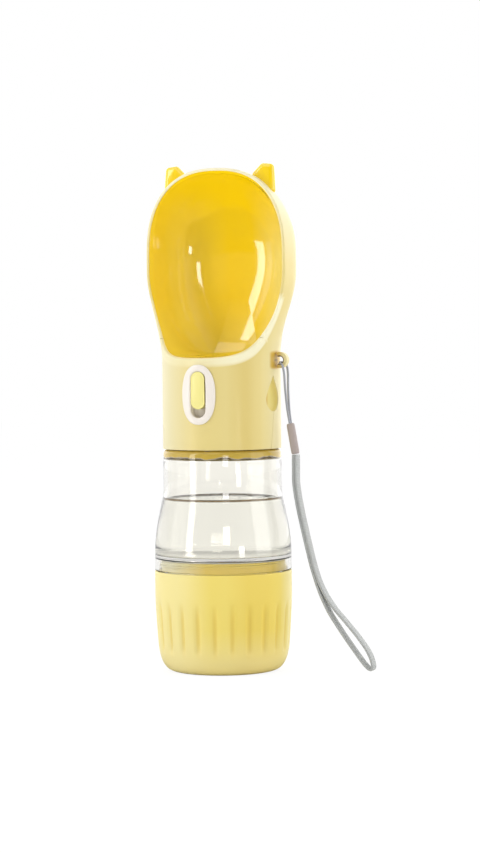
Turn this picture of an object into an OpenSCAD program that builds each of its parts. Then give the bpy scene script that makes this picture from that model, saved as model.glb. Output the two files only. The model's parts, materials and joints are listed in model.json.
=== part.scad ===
// Travel water bottle for dogs: a clear bottle with a screw-on food cup at its foot and
// a scoop-shaped drinking bowl on top, opened by a sliding press button.
// Millimetres. +Z is up, -Y is the button side, +X is the strap side.

/* [Food cup] */
// Radius of the cup where it meets the bottle
cup_r = 33; // [31:0.5:36]
// Height of the cup's outer wall
cup_h = 48.4; // [44:0.1:56]
// Radius of the flat that the cup stands on
foot_r = 23.5; // [20:0.5:25]
// Wall of the cup
cup_wall = 2.2; // [1.8:0.1:2.6]
// Height where the cup's side stops widening
taper_top = 36; // [34:0.5:42]
// How far the cup's plain neck is set in from its side
cup_neck_in = 3.2; // [3:0.1:4.5]
// Height of the cup's neck
cup_neck_h = 5.2; // [4.5:0.1:7]
// Number of flutes round the cup
flutes = 24; // [16:1:28]
// Radius of a flute's round cutter
flute_r = 3; // [2.5:0.1:3.4]
// Depth of a flute
flute_depth = 0.9; // [0.5:0.1:1.1]
// Height of a flute's lower end
flute_low = 12; // [9:0.5:15]
// Height of a flute's upper end
flute_high = 32; // [24:0.5:38]

/* [Bottle] */
// Height of the clear body from the cup to its shoulder
bottle_len = 58.4; // [54:0.1:80]
// Radius of the straight waist under the head
waist_r = 28.5; // [28:0.1:29.5]
// Wall of the clear body
bottle_wall = 2; // [1.5:0.1:2.4]
// Height of the skirt's straight part above the cup's rim
skirt_h = 8; // [7.5:0.1:12]
// Radius of the plain neck under its thread
neck_r = 22.8; // [21:0.1:23]
// Height of the neck above the shoulder
neck_h = 7; // [6:0.1:7.4]
// Thickness of the neck and cup gaskets
gasket_t = 1.2; // [0.8:0.1:1.4]

/* [Head] */
// Wall of the head's two shells
shell_wall = 2.2; // [1.8:0.1:2.6]
// Height of the straight sleeve
sleeve_len = 42.9; // [42.6:0.1:52]
// Greatest width of the scoop
head_w = 72; // [68:0.1:76]
// Height of the scoop above the sleeve
scoop_h = 91.3; // [86:0.1:104]
// Depth of the scoop's back behind the bottle's axis
back_depth = 25.5; // [24:0.1:27.5]
// How far the upright rim stands in front of the axis
rim_front = 7; // [6:0.1:9]
// Wall of the head at the scoop's rim
rim_wall = 1.3; // [1.1:0.1:1.8]
// Wall of the bowl
bowl_wall = 1.2; // [1:0.1:1.6]
// Radius of the outlet hole in the bowl
outlet_r = 2.8; // [2.2:0.1:3]
// Thickness of an ear
ear_t = 5.2; // [4.5:0.1:6]

/* [Button] */
// Width of the oval bezel
bezel_w = 17; // [16:0.1:19]
// Height of the oval bezel
bezel_h = 28.4; // [27.6:0.1:29]
// How far the bezel stands out of the cover
bezel_rise = 0.9; // [0.6:0.1:1.4]
// Width of the opening in the bezel
window_w = 7.4; // [7:0.1:8]
// Height of the opening in the bezel
window_h = 21.8; // [21.4:0.1:22.4]
// Width of the button
button_w = 6.8; // [6.2:0.1:6.9]
// Height of the button
button_h = 17.6; // [17:0.1:17.8]
// Travel of the button when pressed
press_travel = 3; // [2:0.1:3.2]
// Travel of the lock slide
lock_travel = 3.6; // [3:0.1:3.8]

/* [Valve] */
// Distance of the valve's axis in front of the bottle's axis
valve_front = 3; // [2.5:0.1:4]
// Radius of the port in the inner cap
port_r = 4; // [3:0.1:4.4]
// Radius of the valve stem
stem_r = 1.8; // [1.5:0.1:2]
// Radius of the valve chamber's bore
chamber_r = 6.4; // [6:0.1:7]
// Inner height of the valve chamber
chamber_h = 7.8; // [7.6:0.1:8.4]
// Bore of the riser to the bowl
riser_r = 2.6; // [2:0.1:3]
// Distance of the riser behind the bottle's axis
riser_back = 9.5; // [9.3:0.1:11]
// Wire of the valve spring
spring_wire = 0.6; // [0.5:0.05:0.7]

/* [Strap] */
// Diameter of the thin cord
cord_d = 1.1; // [0.9:0.1:1.2]
// Width of the webbing
strap_w = 5.2; // [4.6:0.1:6]
// Thickness of the doubled webbing
strap_t = 3; // [2.6:0.1:3.2]
// Radius of the hole in the strap's eye
eye_r = 1.7; // [1.6:0.1:1.8]

/* [Hidden] */
$fn = 72;
pale = [0.97, 0.91, 0.62];
deep = [0.97, 0.79, 0.1];
white = [0.97, 0.95, 0.92];
clear = [0.86, 0.9, 0.9, 0.4];
seal_grey = [0.9, 0.9, 0.88];

// Clearances
gap = 0.3;
cup_neck_r = cup_r - cup_neck_in;
seal_gap = 0.1;
thread_room = 1.4;
joint_gap = 0.05;

// Stack of heights
floor_z = cup_h + cup_neck_h + gasket_t;
shoulder_z = cup_h + bottle_len;
neck_top = shoulder_z + neck_h;
sleeve_z = shoulder_z + gap;
roof_z = neck_top + gasket_t;
roof_t = 2;
cap_top = roof_z + roof_t;
scoop_z = sleeve_z + sleeve_len;
wide_z = scoop_z + 0.548 * scoop_h;
top_z = scoop_z + scoop_h;
sleeve_r = waist_r;
skirt_r = cup_r;
bore_r = sleeve_r - shell_wall;

// Button and lock
bezel_z = scoop_z - 16.6;
button_z = bezel_z + window_h / 2 - button_h / 2 - 0.1;
button_face = sleeve_r + bezel_rise - 0.2;

function clamp(v) = min(1, max(0, v));
function smooth(v) = let(t = clamp(v)) t * t * (3 - 2 * t);
function mix(a, b, t) = a + (b - a) * t;
function arc_of(p0, p1, p2, p3, n) = [
  for (i = [0:n]) let(t = i / n, s = 1 - t)
    s * s * s * p0 + 3 * s * s * t * p1 + 3 * s * t * t * p2 + t * t * t * p3
];

// ---------------------------------------------------------------- food cup

// The cup's side leans in by its taper from the rim down to taper_z
cup_taper = 1.2;
taper_z = 15;
foot_round = 5;

// Outside of the cup from the foot to taper_z, drawn in by an inset
function cup_side(inset) = arc_of(
  [foot_r, inset], [foot_r + foot_round - inset / 2, inset],
  [cup_r - cup_taper - 0.5 - inset, foot_round + inset], [cup_r - cup_taper - inset, taper_z], 10
);

module food_cup() {
  inner_neck = cup_neck_r - cup_wall;
  flute_x = cup_r - cup_taper * (taper_top - flute_high) / (taper_top - taper_z);
  tilt = atan(cup_taper / (taper_top - taper_z));
  color(pale)
    difference() {
      rotate_extrude()
        polygon(concat(
          [[0, 0]], cup_side(0), [[cup_r, taper_top], [cup_r, cup_h], [cup_neck_r, cup_h]],
          [[cup_neck_r, cup_h + cup_neck_h], [0, cup_h + cup_neck_h]]
        ));
      rotate_extrude()
        polygon(concat(
          [[0, cup_wall]], cup_side(cup_wall),
          [[inner_neck, cup_h - 1], [inner_neck, cup_h + cup_neck_h + 1]],
          [[0, cup_h + cup_neck_h + 1]]
        ));
      for (i = [0:flutes - 1])
        rotate(i * 360 / flutes)
          translate([flute_x + flute_r - flute_depth, 0, flute_high])
            rotate([0, 180 + tilt, 0])
              flute_cutter(flute_high - flute_low);
    }
}

module flute_cutter(length) {
  cylinder(r = flute_r, h = length, $fn = 24);
  sphere(r = flute_r, $fn = 24);
  translate([0, 0, length])
    sphere(r = flute_r, $fn = 24);
}

module cup_gasket() {
  color(seal_grey)
    translate([0, 0, cup_h + cup_neck_h])
      difference() {
        cylinder(r = cup_neck_r - 0.2, h = gasket_t - seal_gap);
        translate([0, 0, -1])
          cylinder(r = cup_neck_r - cup_wall, h = gasket_t + 2);
      }
}

// ---------------------------------------------------------------- bottle

belly_top = cup_h + 35.5;
waist_z = belly_top + 3;
floor_t = 2;

// Belly of the clear body from the skirt up to the waist, drawn in by an inset
function belly(inset) = arc_of(
  [skirt_r - inset, cup_h + skirt_h], [skirt_r - inset, cup_h + skirt_h + 10],
  [waist_r + 2.2 - inset, belly_top - 8.5], [waist_r + 0.4 - inset, belly_top], 10
);

module bottle_body() {
  w = bottle_wall;
  color(clear)
    difference() {
      rotate_extrude()
        polygon(concat(
          [[0, cup_h + seal_gap], [skirt_r, cup_h + seal_gap]], belly(0),
          [[waist_r, waist_z], [waist_r, shoulder_z - 2]],
          [[waist_r - 0.6, shoulder_z - 0.6], [waist_r - 2, shoulder_z]],
          [[neck_r, shoulder_z], [neck_r, neck_top], [0, neck_top]]
        ));
      rotate_extrude()
        polygon(concat(
          [[0, floor_z + floor_t], [skirt_r - w - 3, floor_z + floor_t]],
          [[skirt_r - w - 0.4, floor_z + floor_t + 2]], belly(w),
          [[waist_r - w, waist_z], [waist_r - w, shoulder_z - 5]],
          [[neck_r - w, shoulder_z - 1.5], [neck_r - w, neck_top + 1], [0, neck_top + 1]]
        ));
      translate([0, 0, cup_h - 1])
        cylinder(r = cup_neck_r + thread_room, h = floor_z - cup_h + 1);
    }
}

module neck_gasket() {
  color(seal_grey)
    translate([0, 0, neck_top])
      difference() {
        cylinder(r = neck_r - 0.2, h = gasket_t - seal_gap);
        translate([0, 0, -1])
          cylinder(r = neck_r - bottle_wall, h = gasket_t + 2);
      }
}

// ---------------------------------------------------------------- inner cap and valve

module at_valve(z) {
  translate([0, -valve_front, z])
    children();
}

module inner_cap() {
  color(pale)
    difference() {
      translate([0, 0, sleeve_z])
        cylinder(r = bore_r - seal_gap, h = cap_top - sleeve_z);
      translate([0, 0, sleeve_z - 1])
        cylinder(r = neck_r + thread_room, h = roof_z - sleeve_z + 1);
      at_valve(roof_z - 1)
        cylinder(r = port_r, h = roof_t + 2);
    }
}

seal_t = 0.8;
seal_r = chamber_r + 3.6;
body_z = cap_top + seal_t;
ceiling_z = body_z + chamber_h;
guide_t = 2.4;
guide_z = ceiling_z + guide_t;
ring_r = 0.6;
ring_z = ceiling_z + guide_t / 2;
stopper_t = 2.4;
stopper_lip = 1.5;
stem_foot = cap_top + seal_gap + stopper_t / 2;
flange_z = cap_top + seal_gap + stopper_t;
disc_t = 1;

module valve_seal() {
  color(seal_grey)
    at_valve(cap_top)
      difference() {
        cylinder(r = seal_r, h = seal_t);
        translate([0, 0, -1])
          cylinder(r = chamber_r, h = seal_t + 2);
      }
}

// Chamber over the port, with the riser that carries water up to the bowl
module valve_body() {
  riser_foot = body_z + 1.8;
  color(white)
    difference() {
      union() {
        at_valve(body_z)
          cylinder(r = seal_r, h = 1.8);
        at_valve(body_z)
          cylinder(r = chamber_r + 1.6, h = guide_z - body_z);
        translate([0, riser_back, body_z])
          cylinder(r = riser_r + 1.4, h = riser_top - body_z);
      }
      at_valve(body_z - 1)
        cylinder(r = chamber_r, h = chamber_h + 1);
      at_valve(body_z)
        cylinder(r = stem_r + 0.06, h = guide_z);
      at_valve(ring_z)
        cylinder(r = stem_r + 2 * ring_r + 0.12, h = 2 * ring_r + 0.1, center = true);
      translate([0, riser_back, riser_foot])
        cylinder(r = riser_r, h = scoop_h);
      translate([0, -valve_front, riser_foot + 2.2])
        rotate([-90, 0, 0])
          cylinder(r = 1.9, h = riser_back + valve_front);
    }
}

module stopper() {
  color(seal_grey)
    at_valve(cap_top + seal_gap)
      difference() {
        cylinder(r = port_r + stopper_lip, h = stopper_t);
        translate([0, 0, stopper_t / 2])
          cylinder(r = stem_r, h = stopper_t);
      }
}

// Sloping underside of the stem's head, which the button's fork lifts
fork_z = guide_z + gap + lock_travel + 0.4;
fork_h = 4;
head_half = 3.5;
head_lead = 0.4;
slope_z = fork_z + 1.6;
head_top = slope_z + head_half + 1.8;
slope_span = neck_r;

module under_slope(drop) {
  // Half space below the 45 degree face: drop lowers it
  rotate([90, 0, 90])
    linear_extrude(height = 2 * slope_span, center = true)
      polygon([
        [-valve_front - slope_span, slope_z + slope_span - drop],
        [-valve_front + slope_span, slope_z - slope_span - drop],
        [-valve_front - slope_span, slope_z - slope_span - drop]
      ]);
}

module valve_stem() {
  color(white)
    union() {
      at_valve(flange_z)
        cylinder(r = chamber_r / 2, h = disc_t);
      at_valve(stem_foot)
        cylinder(r = stem_r, h = slope_z + head_half - stem_foot);
      difference() {
        at_valve(slope_z - head_half + head_lead)
          translate([-post_half, -head_half, 0])
            cube([2 * post_half, 2 * head_half, head_top - slope_z + head_half - head_lead]);
        under_slope(0);
      }
    }
}

module stem_o_ring() {
  color([0.25, 0.25, 0.25])
    at_valve(ring_z)
      rotate_extrude()
        translate([stem_r + ring_r + 0.06, 0])
          circle(r = ring_r, $fn = 24);
}

// Compression spring between the stem's flange and the chamber's ceiling
module valve_spring() {
  low = flange_z + disc_t + spring_wire / 2 + joint_gap;
  high = ceiling_z - spring_wire / 2 - 0.05;
  turns = 4;
  steps = 12;
  path = [
    for (i = [0:turns * steps]) let(a = 360 * i / steps, t = i / (turns * steps))
      [3 * cos(a), 3 * sin(a) - valve_front, mix(low, high, spring_rise(t, turns))]
  ];
  color("silver")
    tube(path, spring_wire, spring_wire, 6, [0, 0, 1]);
}

// The first and last turns of the spring lie flat
function spring_rise(t, turns) = clamp((t * turns - 0.75) / (turns - 1.5)) * 0.8
  + 0.1 * clamp(t * turns) + 0.1 * clamp(t * turns - turns + 1);

// ---------------------------------------------------------------- scoop

mouth_z = scoop_z + 0.6;
rim_len = 27.2;
top_n = 2.4;

// Depth of the rim line in front of the axis at a height
function rim_y(z) = let(s = clamp((z - mouth_z) / rim_len))
  -rim_front - (sleeve_r - rim_front) * pow(1 - pow(s, 0.6), 1.7);
function rise_of(z, inset) = clamp((z - wide_z) / (top_z - wide_z - inset));
function crown(u, n) = pow(max(0, 1 - pow(u, n)), 1 / n);
// Half width, back depth, centre line and squareness of the scoop's level section
function half_w(z, inset) = z <= wide_z
  ? mix(sleeve_r, head_w / 2, smooth((z - scoop_z) / 42)) - inset
  : (head_w / 2 - inset) * crown(rise_of(z, inset), top_n);
function back_y(z, inset) = z <= wide_z
  ? mix(sleeve_r, back_depth, smooth((z - scoop_z) / 25)) - inset
  : (back_depth + 4 - inset) * crown(rise_of(z, inset), 2) - 4;
function mid_y(z, inset) = -5 * pow(rise_of(z, inset), 2);
function front_y(z, inset) = z <= wide_z ? -half_w(z, inset) : inset - head_w / 2;
function squareness(z) = 2 + 0.8 * smooth((z - seam_rim_z) / 30)
  - 0.7 * smooth((z - wide_z - 5) / 30);

// Point of the level section at an angle from +X, the back being at 90 degrees
function section(z, a, inset) = let(
  p = 2 / squareness(z), m = mid_y(z, inset),
  reach = (sin(a) >= 0 ? back_y(z, inset) : front_y(z, inset)) - m
) [
  half_w(z, inset) * sign(cos(a)) * pow(abs(cos(a)), p),
  m + reach * pow(abs(sin(a)), p),
  z
];
// Angle in the front half at which the section reaches a depth
function angle_at(z, y, inset) = let(m = mid_y(z, inset))
  -asin(clamp(pow(max(0, (m - y) / (m - front_y(z, inset))), squareness(z) / 2)));

// Side seam between the shells: nearly upright, then forward to the rim
seam_low = 5.9;
seam_mid = 3.6;
seam_bend = sleeve_z + 17.7;
seam_rim_z = mouth_z + 10;
function seam_y(z) = z < seam_bend
  ? -mix(seam_low, seam_mid, (z - sleeve_z) / (seam_bend - sleeve_z))
  : z < scoop_z ? -seam_mid
  : mix(-seam_mid, rim_y(seam_rim_z), clamp((z - scoop_z) / (seam_rim_z - scoop_z)));
function wall_at(z) = mix(shell_wall, rim_wall, smooth((z - scoop_z) / 25));
function shell_front(z) = z < seam_rim_z ? seam_y(z) + joint_gap : rim_y(z);

low_steps = 11;
high_steps = 10;
// Heights of the shell's levels, closer together towards the crown
function shell_levels(inset) = concat(
  [sleeve_z, seam_bend, scoop_z, seam_rim_z],
  [for (i = [1:low_steps]) mix(seam_rim_z, wide_z, i / low_steps)],
  [for (i = [1:high_steps]) wide_z + (top_z - wide_z - inset) * sin(86 * i / high_steps)]
);

sides = 30;
// The lip's middle stands a hair proud, so that its edges stay apart from its corners
lip_proud = 0.02;
function shell_row(z, inset, ease) = let(a0 = angle_at(z, shell_front(z) + ease, inset))
  [for (j = [0:sides]) section(z, mix(a0, 180 - a0, j / sides), inset)];

// One closed loop of the shell: outside, left edge, inside and right edge
function shell_loop(zo, zi) = let(
  ease = 0.7 * clamp((zo - seam_rim_z) / 3),
  w = wall_at(zi), outer = shell_row(zo, 0, ease), inner = shell_row(zi, w, ease),
  eo = section(zo, angle_at(zo, shell_front(zo), 0), 0),
  ei = section(zi, angle_at(zi, shell_front(zi), w), w),
  proud = [0, -lip_proud, 0], m1 = mix(eo, ei, 0.25) + proud, m2 = mix(eo, ei, 0.75) + proud
) concat(
  outer, [[-m1.x, m1.y, m1.z], [-m2.x, m2.y, m2.z]],
  [for (j = [sides:-1:0]) inner[j]], [m2, m1]
);

module scoop_shell() {
  zo = shell_levels(0);
  zi = shell_levels(rim_wall);
  loops = [for (k = [0:len(zo) - 1]) shell_loop(zo[k], zi[k])];
  n = len(loops[0]);
  top = (len(loops) - 1) * n;
  last = 2 * sides + 3;
  polyhedron(
    points = [for (l = loops) each l],
    faces = concat(
      [[for (j = [0:n - 1]) j]],
      [for (k = [0:len(loops) - 2]) for (j = [0:n - 1]) each quad(k * n, n, j)],
      [[for (j = [sides:-1:0]) top + j], [for (j = [last:-1:sides + 3]) top + j]],
      [[top + sides, top, top + n - 1, top + sides + 1]],
      [[top + sides + 1, top + n - 1, top + n - 2, top + sides + 2]],
      [[top + sides + 2, top + n - 2, top + last, top + sides + 3]]
    )
  );
}

// Two triangles between point j of a ring and the ring above it
function quad(base, n, j) = let(k = (j + 1) % n) [
  [base + j, base + n + j, base + n + k], [base + j, base + n + k, base + k]
];

eye_disc = 3.8;
eye_x = sleeve_r + 2;
eye_z = scoop_z - 0.6;
eye_w = 3.4;

module rear_shell() {
  color(pale)
    difference() {
      union() {
        scoop_shell();
        strap_eye();
        intersection() {
          recess_pocket();
          translate([0, -seam_mid + joint_gap, sleeve_z])
            cube([sleeve_r, sleeve_r, sleeve_len]);
        }
      }
      thumb_recess();
    }
}

// Half-round loop standing out of the shell, bored for the cord
module strap_eye() {
  difference() {
    translate([eye_x, 0, eye_z])
      rotate([90, 0, 0])
        cylinder(r = eye_disc, h = eye_w, center = true, $fn = 48);
    translate([eye_x + 0.5, 0, eye_z - 0.3])
      rotate([90, 0, 0])
        cylinder(r = eye_r, h = eye_w + 2, center = true, $fn = 32);
    translate([0, 0, eye_z - 10])
      cylinder(r = sleeve_r - shell_wall / 2, h = 20);
  }
}

recess_depth = 2.4;
pocket_wall = 1.3;
recess_r = 5.8;
recess_z = eye_z - 18.7;

recess_tip = 11.5;

module drop_form() {
  circle(r = recess_r, $fn = 48);
  polygon([[-recess_r * 0.9, 2.5], [recess_r * 0.9, 2.5], [1, recess_tip], [-1, recess_tip]]);
}

// Drop-shaped prism across the side seam, outside a radius round the bottle's axis
module drop_prism(from, length, inner_r) {
  difference() {
    translate([from, -seam_mid, recess_z])
      rotate([90, 0, 90])
        linear_extrude(height = length)
          children();
    translate([0, 0, recess_z - 2 * recess_r])
      cylinder(r = inner_r, h = 4 * recess_tip);
  }
}

// Drop-shaped recess across the side seam, under the eye
module thumb_recess() {
  drop_prism(sleeve_r / 2, sleeve_r, sleeve_r - recess_depth)
    drop_form();
}

// Floor and sides that close the recess inside the shell's wall
module recess_pocket() {
  intersection() {
    drop_prism(sleeve_r / 2, sleeve_r, sleeve_r - recess_depth - pocket_wall)
      offset(r = pocket_wall)
        drop_form();
    translate([0, 0, sleeve_z])
      cylinder(r = bore_r + shell_wall / 2, h = sleeve_len);
  }
}

module front_cover() {
  flare = [for (i = [0:6]) let(z = mix(scoop_z, seam_rim_z, i / 6)) [half_w(z, 0), z]];
  inner = [for (p = flare) [p.x - wall_at(p.y), p.y]];
  lip = [for (i = [0:10]) let(z = mix(seam_rim_z, mouth_z, i / 10)) [rim_y(z), z]];
  color(pale)
    difference() {
      intersection() {
        union() {
          rotate_extrude()
            polygon(concat(
              [[bore_r, sleeve_z], [sleeve_r, sleeve_z]], flare,
              [for (i = [6:-1:0]) inner[i]]
            ));
          recess_pocket();
        }
        rotate([90, 0, 90])
          linear_extrude(height = 3 * sleeve_r, center = true)
            polygon(concat(
              [[-2 * sleeve_r, sleeve_z - 1], [-seam_low - joint_gap, sleeve_z - 1]],
              [[-seam_low - joint_gap, sleeve_z]],
              [[-seam_mid - joint_gap, seam_bend], [-seam_mid - joint_gap, scoop_z]],
              lip, [[-2 * sleeve_r, mouth_z]]
            ));
      }
      translate([0, -sleeve_r, bezel_z])
        rotate([90, 0, 0])
          linear_extrude(height = 16, center = true)
            oval(bezel_w - 3, bezel_h - 3);
      thumb_recess();
    }
}

// ---------------------------------------------------------------- bowl

// Edge of the bowl's mouth: half width at a height on the rim line
function mouth_x(z, inset) = let(n = squareness(z))
  half_w(z, inset) * crown(clamp((rim_y(z) + rim_set) / front_y(z, inset)), n);

// Depth of the scoop's back at a place in the front view
function back_at(x, z, inset) = let(n = squareness(z), m = mid_y(z, inset))
  m + (back_y(z, inset) - m) * crown(clamp(abs(x) / half_w(z, inset)), n);

bowl_steps = 10;
bowl_sides = 44;
bowl_mid = wide_z - 4;
rim_set = 0.4;
bowl_sink = 1.3;

bowl_gap = 0.25;

// Points of the bowl at one share of the way out to its mouth, set in from the shell's inside
function bowl_ring(share, set_in, low) = [
  for (j = [0:bowl_sides - 1]) let(
    a = 360 * j / bowl_sides, up = sin(a) >= 0, reach = top_z - rim_wall - set_in - bowl_mid,
    z = bowl_mid + (up ? reach : bowl_mid - low) * sin(a), inset = wall_at(z) + set_in,
    x = sign(cos(a)) * mouth_x(z, inset),
    xs = share * x, zs = mix(bowl_mid, z, share),
    m = up ? 4 : 4 + 4 * sin(a) * sin(a),
    y0 = max(rim_y(z) + rim_set, front_y(z, inset)),
    sink = up ? 0 : bowl_sink * share * pow(sin(a), 4)
  ) [xs, mix(y0, back_at(xs, zs, wall_at(zs) + set_in + gap), crown(share, m)), zs - sink]
];

function bowl_shares() = concat(
  [for (i = [1:bowl_steps - 1]) sin(84 * i / bowl_steps)], [0.994, 1]
);

module bowl() {
  thick = bowl_gap + bowl_wall;
  low = mouth_z + gap;
  rings = concat(
    [for (s = bowl_shares()) bowl_ring(s, bowl_gap, low)],
    [for (i = [bowl_steps:-1:0]) bowl_ring(bowl_shares()[i], thick, low + bowl_wall)]
  );
  n = bowl_sides;
  count = len(rings);
  inner_pole = [0, back_at(0, bowl_mid, rim_wall + thick + gap), bowl_mid];
  outer_pole = [0, back_at(0, bowl_mid, rim_wall + bowl_gap + gap), bowl_mid];
  color(deep)
    difference() {
      union() {
        polyhedron(
          points = concat([for (r = rings) each r], [outer_pole, inner_pole]),
          faces = concat(
            [for (k = [0:count - 2]) for (j = [0:n - 1]) each quad(k * n, n, j)],
            [for (j = [0:n - 1]) [count * n, j, (j + 1) % n]],
            [for (j = [0:n - 1]) let(b = (count - 1) * n) [count * n + 1, b + (j + 1) % n, b + j]]
          )
        );
        translate([0, riser_back, riser_top + 1])
          cylinder(r = outlet_r + 1, h = 1.2);
      }
      translate([0, riser_back, riser_top])
        cylinder(r = outlet_r, h = 8);
    }
}

riser_top = scoop_z - 1.5;

module riser_seal() {
  color(seal_grey)
    translate([0, riser_back, riser_top])
      difference() {
        cylinder(r = outlet_r + 1, h = 1);
        translate([0, 0, -1])
          cylinder(r = outlet_r - 0.2, h = 4);
      }
}

// ---------------------------------------------------------------- ears

module ear_form() {
  hull() {
    translate([19.2, 0, -3.6])
      sphere(r = ear_t / 2 - 0.6, $fn = 24);
    translate([22.9, 0.3, -0.3])
      sphere(r = ear_t / 2 - 0.3, $fn = 24);
    translate([25.9, 0.4, -0.6])
      sphere(r = ear_t / 2 - 0.3, $fn = 24);
    translate([26.3, 0, -10.6])
      sphere(r = ear_t / 2, $fn = 24);
  }
}

// Closed outer form of the scoop's crown, which the ears sit on
module crown_form() {
  levels = [for (i = [4:high_steps]) wide_z + (top_z - wide_z) * sin(87 * i / high_steps)];
  around = 48;
  rows = [for (z = levels) [for (j = [0:around - 1]) section(z, 360 * j / around, -joint_gap)]];
  n = around;
  top = (len(rows) - 1) * n;
  polyhedron(
    points = [for (r = rows) each r],
    faces = concat(
      [[for (j = [0:n - 1]) j]],
      [for (k = [0:len(rows) - 2]) for (j = [0:n - 1]) each quad(k * n, n, j)],
      [[for (j = [n - 1:-1:0]) top + j]]
    )
  );
}

module ear(side) {
  color(deep)
    difference() {
      scale([side, 1, 1])
        translate([head_w / 2 - 36, 0, top_z])
          ear_form();
      crown_form();
    }
}

module ear_left() {
  ear(-1);
}

module ear_right() {
  ear(1);
}

// ---------------------------------------------------------------- button

module oval(w, h) {
  n = 2.3;
  polygon([
    for (a = [0:7.5:359]) [
      w / 2 * sign(cos(a)) * pow(abs(cos(a)), 2 / n), h / 2 * sign(sin(a)) * pow(abs(sin(a)), 2 / n)
    ]
  ]);
}

module slot(w, h) {
  square([w, h - w], center = true);
  for (s = [-1, 1])
    translate([0, s * (h - w) / 2])
      circle(r = w / 2, $fn = 36);
}

// Upright prism behind the front face, from one depth to another
module through_front(z, from, to) {
  translate([0, -to, z])
    rotate([90, 0, 0])
      linear_extrude(height = from - to)
        children();
}

plate_w = window_w + 4.6;
plate_face = sqrt(pow(bore_r - gap, 2) - pow(plate_w / 2, 2));
inner_face = plate_face + gap;

module button_bezel() {
  color(white)
    difference() {
      union() {
        intersection() {
          through_front(bezel_z, sleeve_r + 4, sleeve_r - 10)
            oval(bezel_w, bezel_h);
          translate([0, 0, bezel_z - bezel_h])
            difference() {
              cylinder(r = sleeve_r + bezel_rise, h = 2 * bezel_h);
              translate([0, 0, -1])
                cylinder(r = sleeve_r + 0.05, h = 2 * bezel_h + 2);
            }
        }
        intersection() {
          through_front(bezel_z, sleeve_r + 4, inner_face)
            oval(bezel_w - 3.2, bezel_h - 3.2);
          translate([0, 0, bezel_z - bezel_h])
            cylinder(r = sleeve_r + bezel_rise / 2, h = 2 * bezel_h);
        }
      }
      through_front(bezel_z, sleeve_r + 4, 0)
        slot(window_w, window_h);
    }
}

plate_t = 1.2;
plate_back = plate_face - plate_t;
plate_h = window_h + lock_travel + 2;
plate_z = bezel_z + lock_travel / 2;

// White plate that carries the button and slides down to lock it
module lock_slider() {
  color(white)
    difference() {
      through_front(plate_z, plate_face, plate_back)
        square([plate_w, plate_h], center = true);
      through_front(button_z, sleeve_r, 0)
        slot(button_w + 0.2, button_h + 0.2);
    }
}

flange_t = 1.2;
post_half = stem_r + 2.6;
fork_half = stem_r + 0.4;

module button() {
  face = plate_back - gap;
  post_z = fork_z;
  fork_tip = -valve_front + 0.6;
  color(pale)
    union() {
      through_front(button_z, button_face, face - flange_t)
        slot(button_w, button_h);
      through_front(button_z, face, face - flange_t)
        slot(button_w + 2.4, button_h + 2.4);
      difference() {
        translate([-post_half, -face + flange_t, post_z])
          cube([2 * post_half, face - flange_t + fork_tip, fork_h]);
        translate([-fork_half, -valve_front - stem_r - gap - press_travel, post_z - 1])
          cube([2 * fork_half, 20, fork_h + 2]);
        over_slope(gap * sqrt(2));
      }
    }
}

module over_slope(drop) {
  // Half space above the 45 degree face
  rotate([90, 0, 90])
    linear_extrude(height = 2 * slope_span, center = true)
      polygon([
        [-valve_front - slope_span, slope_z + slope_span - drop],
        [-valve_front + slope_span, slope_z - slope_span - drop],
        [-valve_front + slope_span, slope_z + slope_span - drop]
      ]);
}

// Two rails inside the cover that hold the slide's edges
module slider_guide() {
  rail = plate_t + 0.4;
  color(white)
    difference() {
      intersection() {
        through_front(bezel_z, plate_face, plate_back - gap - 1.2)
          square([plate_w + 2 * gap + 2 * rail, window_h + gap], center = true);
        translate([0, 0, sleeve_z])
          cylinder(r = bore_r - joint_gap, h = sleeve_len);
      }
      through_front(bezel_z, plate_face + 1, plate_back - gap)
        square([plate_w + 2 * gap, bezel_h], center = true);
      through_front(bezel_z, plate_face + 1, 0)
        square([button_w + 3.2, bezel_h], center = true);
    }
}

// ---------------------------------------------------------------- strap

// Tube of an elliptical section along a path: across is its fixed side direction
function unit(v) = v / norm(v);
function ring_at(path, i, w, t, n, across) = let(
  last = len(path) - 1,
  along = unit(path[min(i + 1, last)] - path[max(i - 1, 0)]),
  u = unit(across - (across * along) * along), v = cross(along, u)
) [for (k = [0:n - 1]) path[i] + u * w / 2 * cos(360 * k / n) + v * t / 2 * sin(360 * k / n)];

module tube(path, w, t, n, across) {
  m = len(path);
  rings = [for (i = [0:m - 1]) ring_at(path, i, w, t, n, across)];
  polyhedron(
    points = [for (r = rings) each r],
    faces = concat(
      [[for (j = [0:n - 1]) j]],
      [for (k = [0:m - 2]) for (j = [0:n - 1]) each quad(k * n, n, j)],
      [[for (j = [n - 1:-1:0]) (m - 1) * n + j]]
    )
  );
}

// Smooth curve through the points of a route
function curve(p, steps) = concat(
  [for (i = [0:len(p) - 2]) for (s = [0:steps - 1]) let(
    t = s / steps, a = p[max(i - 1, 0)], b = p[i], c = p[i + 1], d = p[min(i + 2, len(p) - 1)]
  ) b + 0.5 * t * (c - a + t * (2 * a - 5 * b + 4 * c - d + t * (3 * (b - c) + d - a)))],
  [p[len(p) - 1]]
);

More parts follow.
